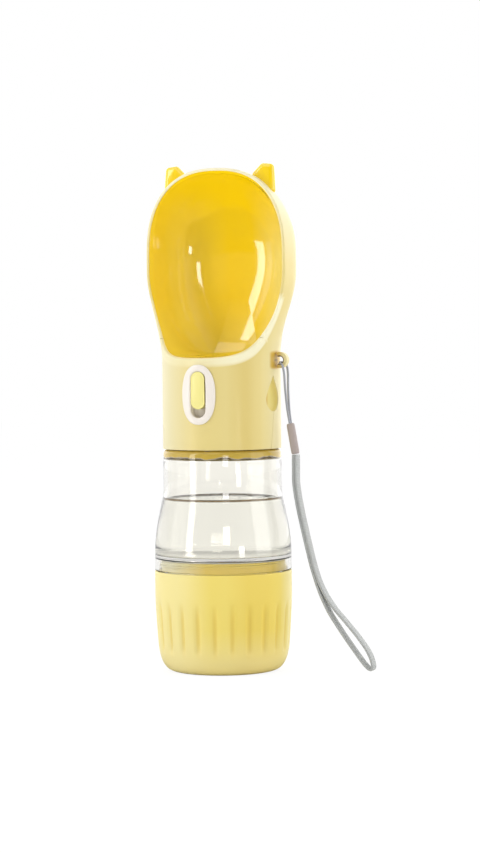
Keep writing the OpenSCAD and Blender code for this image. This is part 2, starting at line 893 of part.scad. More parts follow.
// Routes of the cord and the strap, as they hang in the upright plane of the eye
cord_route = [
  [35.4, -0.8, 119.1], [34.4, -1.3, 126], [33.7, -1.9, 135], [33.4, -2.5, 143],
  [32.6, -2.8, 146.8], [31.1, -1.8, 148.1], [31.1, 0, 148.1], [31.1, 1.8, 148.1],
  [32.6, 2.8, 146.8], [33.4, 2.5, 143], [33.7, 1.9, 135], [34.4, 1.3, 126], [35.4, 0.8, 119.1]
];
strap_route = [
  [38.1, 0, 104.1], [38.1, 0, 98], [38.2, 0, 90], [39.8, 0, 80], [42, 0, 70], [44.4, 0, 60],
  [47, 0, 50], [50.6, 0, 40], [55.6, 0, 31], [61, 0, 24], [66.6, 0, 17], [72, 0, 9.8],
  [76, 0, 3]
];
sleeve_top = [35.4, 0, 119];
sleeve_end = [38, 0, 104.5];

module lanyard_cord() {
  color([0.68, 0.7, 0.74])
    tube(curve(cord_route, 3), cord_d, cord_d, 8, [1, 0, 0]);
}

module cord_sleeve() {
  lean = atan((sleeve_end.x - sleeve_top.x) / (sleeve_top.z - sleeve_end.z));
  color([0.66, 0.6, 0.59])
    translate(sleeve_end)
      rotate([0, -lean, 0])
        linear_extrude(height = norm(sleeve_top - sleeve_end))
          rotate(90)
            slot(2.6, 4);
}

module wrist_strap() {
  color([0.66, 0.66, 0.66])
    tube(curve(strap_route, 3), strap_w, strap_t, 10, [0, 1, 0]);
}

food_cup();
cup_gasket();
bottle_body();
neck_gasket();
inner_cap();
valve_seal();
valve_body();
stopper();
valve_stem();
stem_o_ring();
valve_spring();
riser_seal();
rear_shell();
front_cover();
bowl();
ear_left();
ear_right();
button_bezel();
slider_guide();
lock_slider();
button();
lanyard_cord();
cord_sleeve();
wrist_strap();
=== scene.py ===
"""Looks of a dog travel water bottle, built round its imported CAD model.

Lengths are in millimetres in the form functions and in metres in Blender. +Z is up, -Y is
the button side and +X is the strap side, as in the CAD.
"""

import json
import math

import bmesh
import bpy
import numpy as np
from mathutils import Matrix, Quaternion, Vector


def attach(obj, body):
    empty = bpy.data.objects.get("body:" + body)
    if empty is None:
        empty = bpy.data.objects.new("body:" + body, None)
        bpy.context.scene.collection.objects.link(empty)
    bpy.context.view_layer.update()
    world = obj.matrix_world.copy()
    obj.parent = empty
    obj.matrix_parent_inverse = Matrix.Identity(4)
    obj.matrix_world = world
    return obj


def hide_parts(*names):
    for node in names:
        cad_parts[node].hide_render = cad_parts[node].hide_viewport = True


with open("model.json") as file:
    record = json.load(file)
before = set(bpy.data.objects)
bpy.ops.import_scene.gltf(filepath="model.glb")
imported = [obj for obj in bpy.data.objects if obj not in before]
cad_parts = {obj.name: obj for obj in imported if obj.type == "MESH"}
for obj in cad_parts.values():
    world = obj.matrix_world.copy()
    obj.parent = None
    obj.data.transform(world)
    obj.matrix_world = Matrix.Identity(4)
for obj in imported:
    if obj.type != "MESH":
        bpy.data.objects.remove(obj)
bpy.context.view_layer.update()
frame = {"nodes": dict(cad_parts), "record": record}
MM = 0.001

# ------------------------------------------------------------------ sizes, as in the CAD

CUP_R, CUP_H, FOOT_R, CUP_WALL = 33.0, 48.4, 23.5, 2.2
CUP_TAPER, TAPER_Z, TAPER_TOP, FOOT_ROUND = 1.2, 15.0, 36.0, 5.0
CUP_NECK_R, CUP_NECK_TOP = 29.8, 53.6
FLUTES, FLUTE_R, FLUTE_DEPTH, FLUTE_LOW, FLUTE_HIGH = 24, 3.0, 0.9, 12.0, 32.0
FLOOR_Z, SHOULDER_Z, NECK_TOP = 54.8, 106.8, 113.8
SKIRT_TOP, BELLY_TOP, WAIST_Z, WAIST_R = 56.4, 83.9, 86.9, 28.5
BOTTLE_WALL, NECK_R = 2.0, 22.8
SLEEVE_Z, SCOOP_Z, TOP_Z, SLEEVE_R = 107.1, 150.0, 241.3, 28.5
WIDE_Z, MOUTH_Z, RIM_LEN, RIM_FRONT = 200.03, 150.6, 27.2, 7.0
HEAD_HALF, BACK_DEPTH, SHELL_WALL, RIM_WALL, BOWL_WALL = 36.0, 25.5, 2.2, 1.3, 1.2
SEAM_LOW, SEAM_MID, SEAM_BEND, SEAM_RIM_Z = 5.9, 3.6, 124.8, 160.6
BOWL_MID, RIM_SET, BOWL_SINK, GAP = 196.03, 0.4, 1.3, 0.3
BEZEL_W, BEZEL_H, BEZEL_Z, BEZEL_RISE = 17.0, 28.4, 133.4, 0.9
WINDOW_W, WINDOW_H = 7.4, 21.8
BUTTON_W, BUTTON_H, BUTTON_Z, BUTTON_FACE = 6.8, 17.6, 135.4, 29.2
RECESS_Z, RECESS_R, RECESS_DEPTH, RECESS_TIP = 130.7, 5.8, 2.4, 11.5
EYE_X, EYE_Z, EYE_W = 30.75, 149.25, 3.4
RISER_BACK, OUTLET_R = 9.5, 2.8


# ------------------------------------------------------------------ camera and light


def add_camera():
    """Camera of the photograph: 23 degrees towards the strap, level, 1.2 m away."""
    data = bpy.data.cameras.new("camera")
    data.sensor_width = 36
    data.lens = 105.1
    cam = bpy.data.objects.new("camera", data)
    bpy.context.scene.collection.objects.link(cam)
    a = math.radians(23)
    cam.location = (1.2 * math.sin(a), -1.2 * math.cos(a), 0.160)
    aim = Vector((0.00867 * math.cos(a), 0.00867 * math.sin(a), 0.1173))
    look = (aim - cam.location).to_track_quat("-Z", "Y")
    roll = Quaternion((0, 0, 1), math.radians(-0.57))
    cam.rotation_mode = "QUATERNION"
    cam.rotation_quaternion = look @ roll
    bpy.context.scene.camera = cam


def add_area(name, azimuth, height, distance, size, power, tint=(1, 1, 1), aim_z=0.14):
    """Soft box at an azimuth round the object, 0 being the button side."""
    data = bpy.data.lights.new(name, "AREA")
    data.shape = "RECTANGLE"
    data.size, data.size_y = size
    data.energy = power
    data.color = tint
    lamp = bpy.data.objects.new(name, data)
    bpy.context.scene.collection.objects.link(lamp)
    a = math.radians(azimuth)
    lamp.location = (distance * math.sin(a), -distance * math.cos(a), height)
    lamp.rotation_mode = "QUATERNION"
    lamp.rotation_quaternion = (Vector((0, 0, aim_z)) - lamp.location).to_track_quat("-Z", "Y")


def backdrop_share(nodes, links):
    """Socket that is 1 for rays that should see a plain white background."""
    path = nodes.new("ShaderNodeLightPath")
    first = nodes.new("ShaderNodeMath")
    first.operation = "MAXIMUM"
    links.new(path.outputs["Is Camera Ray"], first.inputs[0])
    links.new(path.outputs["Is Transmission Ray"], first.inputs[1])
    return first.outputs[0]


def lobe(nodes, links, name, azimuth, rise, tight, strength):
    """Soft patch of white studio wall round one way out from the object."""
    place = nodes.new("ShaderNodeTexCoord")
    dot = nodes.new("ShaderNodeVectorMath")
    dot.operation = "DOT_PRODUCT"
    a, e = math.radians(azimuth), math.radians(rise)
    dot.inputs[1].default_value = (math.sin(a) * math.cos(e), -math.cos(a) * math.cos(e), math.sin(e))
    links.new(place.outputs["Generated"], dot.inputs[0])
    span = nodes.new("ShaderNodeMapRange")
    span.interpolation_type = "SMOOTHSTEP"
    span.inputs["From Min"].default_value = tight
    links.new(dot.outputs["Value"], span.inputs["Value"])
    patch = nodes.new("ShaderNodeBackground")
    patch.name = "lobe_" + name
    patch.inputs["Strength"].default_value = strength
    links.new(span.outputs[0], patch.inputs["Color"])
    return patch.outputs[0]


def add_world():
    world = bpy.data.worlds.new("studio")
    bpy.context.scene.world = world
    world.use_nodes = True
    nodes, links = world.node_tree.nodes, world.node_tree.links
    nodes.clear()
    soft = nodes.new("ShaderNodeBackground")
    soft.inputs["Color"].default_value = (1, 1, 1, 1)
    soft.inputs["Strength"].default_value = WORLD_EVEN
    total = soft.outputs[0]
    for patch in WORLD_LOBES:
        joined = nodes.new("ShaderNodeAddShader")
        links.new(total, joined.inputs[0])
        links.new(lobe(nodes, links, *patch), joined.inputs[1])
        total = joined.outputs[0]
    white = nodes.new("ShaderNodeBackground")
    white.inputs["Color"].default_value = (1, 1, 1, 1)
    white.inputs["Strength"].default_value = 1.0
    mixer = nodes.new("ShaderNodeMixShader")
    links.new(backdrop_share(nodes, links), mixer.inputs[0])
    links.new(total, mixer.inputs[1])
    links.new(white.outputs[0], mixer.inputs[2])
    out = nodes.new("ShaderNodeOutputWorld")
    links.new(mixer.outputs[0], out.inputs["Surface"])


def floor_in_mirrors(nodes, links):
    """The floor as reflections see it: white behind the object and dim before it, as the walls."""
    place = nodes.new("ShaderNodeTexCoord")
    way = nodes.new("ShaderNodeVectorMath")
    way.operation = "NORMALIZE"
    links.new(place.outputs["Object"], way.inputs[0])
    dot = nodes.new("ShaderNodeVectorMath")
    dot.operation = "DOT_PRODUCT"
    dot.inputs[1].default_value = (-math.sin(math.radians(23)), math.cos(math.radians(23)), 0)
    links.new(way.outputs[0], dot.inputs[0])
    span = nodes.new("ShaderNodeMapRange")
    span.interpolation_type = "SMOOTHSTEP"
    for key, value in (("From Min", -0.1), ("To Min", 0.08), ("To Max", 1.0)):
        span.inputs[key].default_value = value
    links.new(dot.outputs["Value"], span.inputs["Value"])
    glow = nodes.new("ShaderNodeEmission")
    links.new(span.outputs[0], glow.inputs["Color"])
    return glow.outputs[0]


def add_floor():
    """Pale floor that reads as white and keeps a soft shadow."""
    mesh = bpy.data.meshes.new("floor")
    s = 3.0
    mesh.from_pydata([(-s, -s, 0), (s, -s, 0), (s, s, 0), (-s, s, 0)], [], [(0, 1, 2, 3)])
    floor = bpy.data.objects.new("floor", mesh)
    bpy.context.scene.collection.objects.link(floor)
    mat = bpy.data.materials.new("floor")
    mat.use_nodes = True
    nodes, links = mat.node_tree.nodes, mat.node_tree.links
    nodes.clear()
    matt = nodes.new("ShaderNodeBsdfDiffuse")
    matt.inputs["Color"].default_value = (0.88, 0.88, 0.88, 1)
    glow = nodes.new("ShaderNodeEmission")
    glow.inputs["Strength"].default_value = 1.045
    mixer = nodes.new("ShaderNodeMixShader")
    share = nodes.new("ShaderNodeMath")
    share.operation = "MULTIPLY"
    share.inputs[1].default_value = 0.86
    links.new(backdrop_share(nodes, links), share.inputs[0])
    links.new(share.outputs[0], mixer.inputs[0])
    links.new(matt.outputs[0], mixer.inputs[1])
    links.new(glow.outputs[0], mixer.inputs[2])
    mirrored = nodes.new("ShaderNodeMixShader")
    path = nodes.new("ShaderNodeLightPath")
    reflected = nodes.new("ShaderNodeMath")
    reflected.operation = "SUBTRACT"
    reflected.use_clamp = True
    links.new(path.outputs["Is Glossy Ray"], reflected.inputs[0])
    links.new(path.outputs["Is Transmission Ray"], reflected.inputs[1])
    links.new(reflected.outputs[0], mirrored.inputs[0])
    links.new(mixer.outputs[0], mirrored.inputs[1])
    links.new(floor_in_mirrors(nodes, links), mirrored.inputs[2])
    out = nodes.new("ShaderNodeOutputMaterial")
    links.new(mirrored.outputs[0], out.inputs["Surface"])
    mesh.materials.append(mat)


# Patches of studio wall: name, azimuth from the button side, rise, tightness and strength
WORLD_EVEN = 0.08
WORLD_LOBES = (
    ("right", 125, 10, -0.1, 0.75),
    ("behind", 203, 10, -0.1, 1.3),
    ("left", -75, 20, 0.0, 0.35),
)
# Lamps: name, azimuth, height, distance, size, power
LAMPS = (
    ("low_strip", 54, 0.05, 0.8, (0.13, 0.12), 0.36),
    ("bowl_strip", 29, 0.34, 1.5, (0.3, 0.27), 1.6),
    ("tall_strip", -37, 0.27, 0.9, (0.19, 0.78), 2.2),
    ("side_left", -62, 0.3, 0.9, (0.5, 0.9), 0.95),
    ("side_right", 95, 0.3, 0.9, (0.5, 0.9), 1.9),
    ("top_front", -15, 1.1, 0.5, (1.0, 1.0), 3.9),
)

add_camera()
add_world()
add_floor()
for row in LAMPS:
    add_area(*row)
bpy.context.scene.view_settings.view_transform = "Standard"

# ------------------------------------------------------------------ materials


def linear(rgb):
    return tuple(v / 12.92 if v <= 0.04045 else ((v + 0.055) / 1.055) ** 2.4 for v in rgb)


class Finish:
    """Node material round one Principled shader, in object coordinates."""

    def __init__(self, name, rgb, roughness, coat=0.0, **sockets):
        self.mat = bpy.data.materials.new(name)
        self.mat.use_nodes = True
        self.nodes, self.links = self.mat.node_tree.nodes, self.mat.node_tree.links
        self.bsdf = self.nodes["Principled BSDF"]
        self.rgb = linear(rgb)
        self.bsdf.inputs["Base Color"].default_value = (*self.rgb, 1)
        self.bsdf.inputs["Roughness"].default_value = roughness
        self.bsdf.inputs["Coat Weight"].default_value = coat
        for key, value in sockets.items():
            self.bsdf.inputs[key.replace("_", " ")].default_value = value
        self.place = self.nodes.new("ShaderNodeTexCoord").outputs["Object"]
        self.height = None

    def noise(self, scale, detail=3.0, stretch=None, place=None):
        n = self.nodes.new("ShaderNodeTexNoise")
        n.inputs["Scale"].default_value = scale
        n.inputs["Detail"].default_value = detail
        source = place or self.place
        if stretch:
            m = self.nodes.new("ShaderNodeMapping")
            m.inputs["Scale"].default_value = stretch
            self.links.new(source, m.inputs["Vector"])
            source = m.outputs[0]
        self.links.new(source, n.inputs["Vector"])
        return n.outputs["Fac"]

    def span(self, source, low, high, to_low=0.0, to_high=1.0):
        r = self.nodes.new("ShaderNodeMapRange")
        for key, value in zip(("From Min", "From Max", "To Min", "To Max"), (low, high, to_low, to_high)):
            r.inputs[key].default_value = value
        self.links.new(source, r.inputs["Value"])
        return r.outputs[0]

    def maths(self, kind, a, b):
        m = self.nodes.new("ShaderNodeMath")
        m.operation = kind
        for i, v in enumerate((a, b)):
            if isinstance(v, (int, float)):
                m.inputs[i].default_value = v
            else:
                self.links.new(v, m.inputs[i])
        return m.outputs[0]

    def axis(self, name):
        """One of the object coordinates, in metres."""
        split = self.nodes.new("ShaderNodeSeparateXYZ")
        self.links.new(self.place, split.inputs[0])
        return split.outputs[name]

    def radius(self):
        square = [self.maths("POWER", self.axis(name), 2.0) for name in "XY"]
        return self.maths("SQRT", self.maths("ADD", *square), 0.0)

    def across(self):
        """Metres to the right of the axis, as the front is mostly seen."""
        a = math.radians(23)
        right = self.maths("MULTIPLY", self.axis("X"), math.cos(a))
        return self.maths("ADD", right, self.maths("MULTIPLY", self.axis("Y"), math.sin(a)))

    def both(self, *shares):
        total = shares[0]
        for share in shares[1:]:
            total = self.maths("MULTIPLY", total, share)
        return total

    def band(self, source, low, high, soft):
        """1 between two values, with soft ends."""
        rise = self.span(source, low - soft, low + soft)
        return self.maths("MULTIPLY", rise, self.span(source, high - soft, high + soft, 1.0, 0.0))

    def tint(self, share, rgb):
        """Mixes a second colour in where share is 1."""
        m = self.nodes.new("ShaderNodeMix")
        m.data_type = "RGBA"
        base = self.bsdf.inputs["Base Color"]
        if base.is_linked:
            self.links.new(base.links[0].from_socket, m.inputs[6])
        else:
            m.inputs[6].default_value = base.default_value
        m.inputs[7].default_value = (*linear(rgb), 1)
        self.links.new(share, m.inputs[0])
        self.links.new(m.outputs[2], base)
        return self

    def rough(self, source, low, high):
        self.links.new(self.span(source, 0.3, 0.7, low, high), self.bsdf.inputs["Roughness"])
        return self

    def bump(self, source, distance, strength=1.0):
        b = self.nodes.new("ShaderNodeBump")
        b.inputs["Distance"].default_value = distance
        b.inputs["Strength"].default_value = strength
        self.links.new(source, b.inputs["Height"])
        normal = self.bsdf.inputs["Normal"]
        if normal.is_linked:
            self.links.new(normal.links[0].from_socket, b.inputs["Normal"])
        self.links.new(b.outputs[0], normal)
        return self


def plastic(name, rgb, second, roughness, coat=0.0, **sockets):
    """Moulded plastic: faint flow in the colour, uneven gloss and a very fine skin."""
    f = Finish(name, rgb, roughness, coat, **sockets)
    flow = f.noise(16, 1.0, (1, 1, 0.35))
    f.tint(f.span(flow, 0.35, 0.75, 0.0, 0.3), second)
    f.rough(f.noise(60, 3.0), roughness - 0.02, roughness + 0.04)
    f.bump(f.noise(1400, 2.0), 0.000006)
    f.bump(f.noise(30, 1.0), 0.00002)
    return f.mat


def cup_finish():
    """Cup plastic, paler towards its foot, with painted light and shade: paler left and right edges and a darker band
    right of the middle, painted shade in the flutes, and its threaded neck inside the clear skirt painted brighter for
    the light through the skirt and paler on its left for a painted reflection.
    """
    f = Finish("cup_plastic", (0.965, 0.88, 0.46), 0.42, 0.06)
    f.tint(f.span(f.noise(16, 1.0, (1, 1, 0.35)), 0.35, 0.75, 0.0, 0.3), (0.955, 0.86, 0.4))
    # Painted light and shade across the front: paler left, a darker band right of the middle, a paler right edge.
    f.tint(f.span(f.across(), -0.006, -0.022), (0.96, 0.9, 0.6))
    f.tint(f.band(f.across(), 0.006, 0.026, 0.005), (0.95, 0.845, 0.38))
    f.tint(f.span(f.across(), 0.027, 0.032), (0.96, 0.9, 0.6))
    f.tint(f.span(f.axis("Z"), 0.022, 0.006, 0.0, 0.6), (0.965, 0.905, 0.66))
    # Painted shade in the flutes.
    angle = f.maths("MULTIPLY", f.maths("ARCTAN2", f.axis("Y"), f.axis("X")), float(FLUTES))
    groove_shade = f.span(f.maths("COSINE", angle, 0.0), 0.55, 0.95, 0.0, 0.45)
    f.tint(f.both(groove_shade, f.band(f.axis("Z"), 0.012, 0.031, 0.004)), (0.9, 0.77, 0.3))
    # Neck painted brighter for the light through the clear skirt, and paler on its left for a painted reflection.
    neck = f.band(f.axis("Z"), 0.0487, 0.06, 0.0003)
    f.tint(neck, (1.0, 0.9, 0.46))
    f.tint(f.both(neck, f.span(f.across(), -0.008, -0.024)), (1.0, 0.98, 0.86))
    f.rough(f.noise(60, 3.0), 0.4, 0.46)
    f.bump(f.noise(1400, 2.0), 0.000006)
    return f.mat


def bowl_finish():
    """Glossy translucent bowl with painted light: its right side, lower left and low part are painted paler for the
    light through its wall and the sheen on it.
    """
    f = Finish("bowl_plastic", (1.0, 0.85, 0.03), 0.08, 1.0)
    f.tint(f.span(f.noise(16, 1.0, (1, 1, 0.35)), 0.35, 0.75, 0.0, 0.3), (0.995, 0.835, 0.02))
    # Painted light: paler lower left, low part and right side.
    low = f.span(f.axis("Z"), 0.235, 0.2)
    f.tint(f.maths("MULTIPLY", low, f.span(f.axis("X"), -0.004, -0.02, 0.0, 0.6)), (1.0, 0.885, 0.32))
    f.tint(f.span(f.axis("Z"), 0.18, 0.16, 0.0, 0.6), (1.0, 0.91, 0.36))
    f.tint(f.maths("MULTIPLY", low, f.span(f.axis("X"), 0.008, 0.026)), (0.99, 0.93, 0.56))
    f.rough(f.noise(60, 3.0), 0.07, 0.1)
    f.bump(f.noise(1400, 2.0), 0.000004)
    return f.mat


def shell_finish():
    """Pale shell with painted light and shade: a painted highlight on the lip, paler left and right edges and a darker
    band on the sleeve, a paler top, and painted shade in the recess and round the loop for the cord.
    """
    f = Finish("shell_plastic", (0.905, 0.83, 0.54), 0.4, 0.08)
    f.tint(f.span(f.noise(16, 1.0, (1, 1, 0.35)), 0.35, 0.75, 0.0, 0.3), (0.915, 0.83, 0.48))
    low = f.span(f.axis("Z"), 0.175, 0.15)
    # Painted light and shade across the sleeve: paler left, a darker band right of the middle, a paler right edge.
    f.tint(f.both(low, f.span(f.across(), -0.014, -0.026)), (0.9, 0.86, 0.68))
    f.tint(f.both(low, f.band(f.across(), 0.006, 0.016, 0.004)), (0.885, 0.795, 0.47))
    f.tint(f.both(low, f.span(f.across(), 0.018, 0.025)), (0.92, 0.865, 0.64))
    # Upper head painted paler for the strong light on it.
    f.tint(f.span(f.axis("Z"), 0.195, 0.235), (0.95, 0.92, 0.77))
    # Painted shade in the thumb recess, deepest on its left wall.
    recess_shade = f.both(
        f.span(f.radius(), SLEEVE_R * MM - 0.0002, SLEEVE_R * MM - 0.0007),
        f.band(f.axis("Z"), (RECESS_Z - 7) * MM, (RECESS_Z + 13) * MM, 0.001),
        f.band(f.axis("Y"), -(SEAM_MID + 7) * MM, -(SEAM_MID - 7) * MM, 0.0005),
        f.span(f.axis("X"), 0.0, 0.001),
    )
    f.tint(recess_shade, (0.93, 0.86, 0.5))
    f.tint(f.both(recess_shade, f.span(f.axis("Y"), -(SEAM_MID + 0.5) * MM, -(SEAM_MID + 2.5) * MM)), (0.82, 0.64, 0.16))
    # Painted shade round the loop for the cord: ochre on its left part, dark brown in its hole.
    away = [f.maths("POWER", f.maths("SUBTRACT", f.axis(n), v * MM), 2.0) for n, v in (("X", EYE_X), ("Z", EYE_Z))]
    reach = f.maths("SQRT", f.maths("ADD", *away), 0.0)
    eye_shade = f.both(f.span(reach, 0.0052, 0.0042), f.band(f.axis("Y"), -0.006, 0.006, 0.001))
    f.tint(f.both(eye_shade, f.span(f.axis("X"), 0.0325, 0.0295)), (0.84, 0.69, 0.28))
    f.tint(f.both(eye_shade, f.span(reach, 0.0024, 0.0021)), (0.4, 0.27, 0.1))
    # Painted highlight along the lip, strongest on the right.
    edge = f.nodes.new("ShaderNodeAttribute")
    edge.attribute_name = "lip"
    f.tint(f.both(edge.outputs["Fac"], f.span(f.across(), -0.018, 0.006, 0.3, 1.0)), (0.98, 0.955, 0.81))
    f.rough(f.noise(60, 3.0), 0.38, 0.44)
    f.bump(f.noise(1400, 2.0), 0.000006)
    f.bump(f.noise(30, 1.0), 0.00002)
    return f.mat


def bezel_finish():
    """Off-white ring, shaded at its foot and in its opening by the button."""
    f = Finish("white_plastic", (0.955, 0.925, 0.885), 0.35, 0.2)
    f.tint(f.span(f.noise(16, 1.0), 0.35, 0.75, 0.0, 0.3), (0.95, 0.91, 0.86))
    right = f.span(f.axis("X"), -0.004, 0.004)
    f.tint(f.both(right, f.span(f.radius(), (SLEEVE_R + 0.5) * MM, (SLEEVE_R + 0.2) * MM)), (0.72, 0.68, 0.6))
    inside = f.both(
        f.span(f.maths("ABSOLUTE", f.axis("X"), 0.0), (WINDOW_W / 2 + 0.25) * MM, (WINDOW_W / 2 + 0.05) * MM),
        f.band(f.axis("Z"), (BUTTON_Z - 7) * MM, (BUTTON_Z + 6) * MM, 0.002),
    )
    f.tint(f.both(inside, right), (0.62, 0.47, 0.24))
    f.rough(f.noise(60, 3.0), 0.33, 0.39)
    f.bump(f.noise(1400, 2.0), 0.000006)
    return f.mat


MATS = {
    "shell_plastic": shell_finish(),
    "cup_plastic": cup_finish(),
    "bowl_plastic": bowl_finish(),
    "button_plastic": plastic("button_plastic", (0.96, 0.92, 0.58), (0.95, 0.88, 0.48), 0.32),
    "white_plastic": bezel_finish(),
}


def seal_finish(name, rgb, second):
    f = Finish(name, rgb, 0.55)
    f.tint(f.span(f.noise(300, 3.0), 0.4, 0.7, 0.0, 0.6), second)
    f.bump(f.noise(2500, 2.0), 0.00003)
    return f.mat


def bottle_finish():
    """Clear plastic whose shoulder has the yellow of the sleeve over it painted in, with an uneven edge, standing for
    the sleeve seen through it.
    """
    f = Finish("clear_plastic", (0.985, 0.98, 0.96), 0.02, IOR=1.49, Transmission_Weight=1.0)
    # Painted refraction: a yellow, less clear band on the shoulder stands for the sleeve seen through it.
    wave = f.span(f.noise(120, 1.0, (1, 1, 0.1)), 0.3, 0.7, -0.0007, 0.0007)
    shoulder = f.band(f.maths("ADD", f.axis("Z"), wave), 0.1031, 0.1071, 0.0004)
    f.tint(shoulder, (0.82, 0.7, 0.3))
    f.links.new(f.span(shoulder, 0.0, 1.0, 1.0, 0.15), f.bsdf.inputs["Transmission Weight"])
    f.bump(f.noise(60, 1.0, (1, 1, 0.5)), 0.00008)
    return f.mat


def water_finish():
    """Water, with a painted olive-brown line of shade where its raised edge meets the wall."""
    f = Finish("water", (0.985, 0.985, 0.975), 0.0, IOR=1.33, Transmission_Weight=1.0)
    # Painted shade: a dark line at the water's edge.
    edge = f.maths("MULTIPLY", f.span(f.radius(), 0.0252, 0.0258), f.span(f.axis("Z"), 0.0822, 0.0826))
    f.tint(edge, (0.3, 0.22, 0.12))
    f.bump(f.noise(60, 1.0, (1, 1, 0.5)), 0.00008)
    return f.mat


def steel_finish():
    f = Finish("spring_steel", (0.72, 0.72, 0.73), 0.3, Metallic=1.0)
    f.rough(f.noise(900, 3.0, (1, 1, 6)), 0.2, 0.42)
    return f.mat


def webbing_finish():
    """Woven tape: rows of picks across and ribs along."""
    f = Finish("webbing", (0.69, 0.7, 0.69), 0.75, Sheen_Weight=0.3)
    uv = f.nodes.new("ShaderNodeUVMap")
    uv.uv_map = "UVMap"
    across = f.nodes.new("ShaderNodeTexWave")
    across.wave_profile = "SIN"
    across.bands_direction = "X"
    across.inputs["Scale"].default_value = 0.42
    across.inputs["Distortion"].default_value = 0.6
    f.links.new(uv.outputs[0], across.inputs["Vector"])
    ribs = f.nodes.new("ShaderNodeTexWave")
    ribs.bands_direction = "Y"
    ribs.inputs["Scale"].default_value = 0.36
    f.links.new(uv.outputs[0], ribs.inputs["Vector"])
    weave = f.maths("MULTIPLY", across.outputs["Fac"], ribs.outputs["Fac"])
    f.tint(f.span(weave, 0.1, 0.8, 0.0, 0.8), (0.84, 0.85, 0.84))
    f.tint(f.span(f.noise(500, 3.0), 0.45, 0.8, 0.0, 0.4), (0.64, 0.64, 0.64))
    f.bump(weave, 0.00012)
    return f.mat


def braid_finish():
    f = Finish("cord", (0.72, 0.73, 0.76), 0.6, Sheen_Weight=0.3)
    uv = f.nodes.new("ShaderNodeUVMap")
    uv.uv_map = "UVMap"
    twist = f.nodes.new("ShaderNodeTexWave")
    twist.bands_direction = "DIAGONAL"
    twist.inputs["Scale"].default_value = 0.7
    f.links.new(uv.outputs[0], twist.inputs["Vector"])
    f.tint(f.span(twist.outputs["Fac"], 0.2, 0.9, 0.0, 0.7), (0.5, 0.52, 0.56))
    f.bump(twist.outputs["Fac"], 0.00008)
    return f.mat


MATS["silicone"] = seal_finish("silicone", (0.9, 0.9, 0.88), (0.84, 0.84, 0.8))
MATS["black_rubber"] = seal_finish("black_rubber", (0.06, 0.06, 0.06), (0.11, 0.11, 0.11))
MATS["spring_steel"] = steel_finish()
MATS["clear_plastic"] = bottle_finish()
MATS["water"] = water_finish()
MATS["webbing"] = webbing_finish()
MATS["cord"] = braid_finish()
MATS["cord_sleeve"] = plastic("cord_sleeve", (0.71, 0.66, 0.64), (0.66, 0.61, 0.59), 0.5)

SLOTS = {row["node"]: row["material_slot"] for row in frame["record"]["subparts"]}
for node_name, node_object in frame["nodes"].items():
    for place in node_object.material_slots:
        place.material = MATS[SLOTS[node_name]]

# ------------------------------------------------------------------ form functions


def clamp(v):
    return np.clip(v, 0.0, 1.0)


def smooth(v):
    t = clamp(v)
    return t * t * (3 - 2 * t)


def mix(a, b, t):
    return a + (b - a) * t


def crown(u, n):
    return np.maximum(0.0, 1 - np.asarray(u, float) ** n) ** (1 / n)


def rim_y(z):
    s = clamp((z - MOUTH_Z) / RIM_LEN)
    return -RIM_FRONT - (SLEEVE_R - RIM_FRONT) * (1 - s**0.6) ** 1.7


def rise_of(z, inset):
    return clamp((z - WIDE_Z) / (TOP_Z - WIDE_Z - inset))


def half_w(z, inset):
    low = mix(SLEEVE_R, HEAD_HALF, smooth((z - SCOOP_Z) / 42)) - inset
    return np.where(z <= WIDE_Z, low, (HEAD_HALF - inset) * crown(rise_of(z, inset), 2.4))


def back_y(z, inset):
    low = mix(SLEEVE_R, BACK_DEPTH, smooth((z - SCOOP_Z) / 25)) - inset
    return np.where(z <= WIDE_Z, low, (BACK_DEPTH + 4 - inset) * crown(rise_of(z, inset), 2) - 4)


def mid_y(z, inset):
    return -5 * rise_of(z, inset) ** 2


def front_y(z, inset):
    return np.where(z <= WIDE_Z, -half_w(z, inset), inset - HEAD_HALF)


def squareness(z):
    return 2 + 0.8 * smooth((z - SEAM_RIM_Z) / 30) - 0.7 * smooth((z - WIDE_Z - 5) / 30)


def section(z, a, inset):
    """Points of the scoop's level section at angles in radians from +X."""
    p, m, s = 2 / squareness(z), mid_y(z, inset), np.sin(a)
    reach = np.where(s >= 0, back_y(z, inset), front_y(z, inset)) - m
    x = half_w(z, inset) * np.sign(np.cos(a)) * np.abs(np.cos(a)) ** p
    y = m + reach * np.abs(s) ** p
    return np.stack(np.broadcast_arrays(x, y, z), -1)


def angle_at(z, y, inset):
    m = mid_y(z, inset)
    share = np.maximum(0, (m - y) / (m - front_y(z, inset))) ** (squareness(z) / 2)
    return -np.arcsin(clamp(share))


def wall_at(z):
    return mix(SHELL_WALL, RIM_WALL, smooth((np.asarray(z, float) - SCOOP_Z) / 25))


def seam_y(z):
    low = -mix(SEAM_LOW, SEAM_MID, (z - SLEEVE_Z) / (SEAM_BEND - SLEEVE_Z))
    rise = clamp((z - SCOOP_Z) / (SEAM_RIM_Z - SCOOP_Z))
    high = mix(-SEAM_MID, rim_y(SEAM_RIM_Z), rise)
    return np.where(z < SEAM_BEND, low, np.where(z < SCOOP_Z, -SEAM_MID, high))


def mouth_x(z, inset):
    share = clamp((rim_y(z) + RIM_SET) / front_y(z, inset))
    return half_w(z, inset) * crown(share, squareness(z))


def back_at(x, z, inset):
    m = mid_y(z, inset)
    share = clamp(np.abs(x) / half_w(z, inset))
    return m + (back_y(z, inset) - m) * crown(share, squareness(z))


def bezier(p0, p1, p2, p3, steps):
    t = np.linspace(0, 1, steps + 1)[:, None]
    s = 1 - t
    p0, p1, p2, p3 = (np.array(p, float) for p in (p0, p1, p2, p3))
    return s**3 * p0 + 3 * s * s * t * p1 + 3 * s * t * t * p2 + t**3 * p3


# ------------------------------------------------------------------ mesh helpers


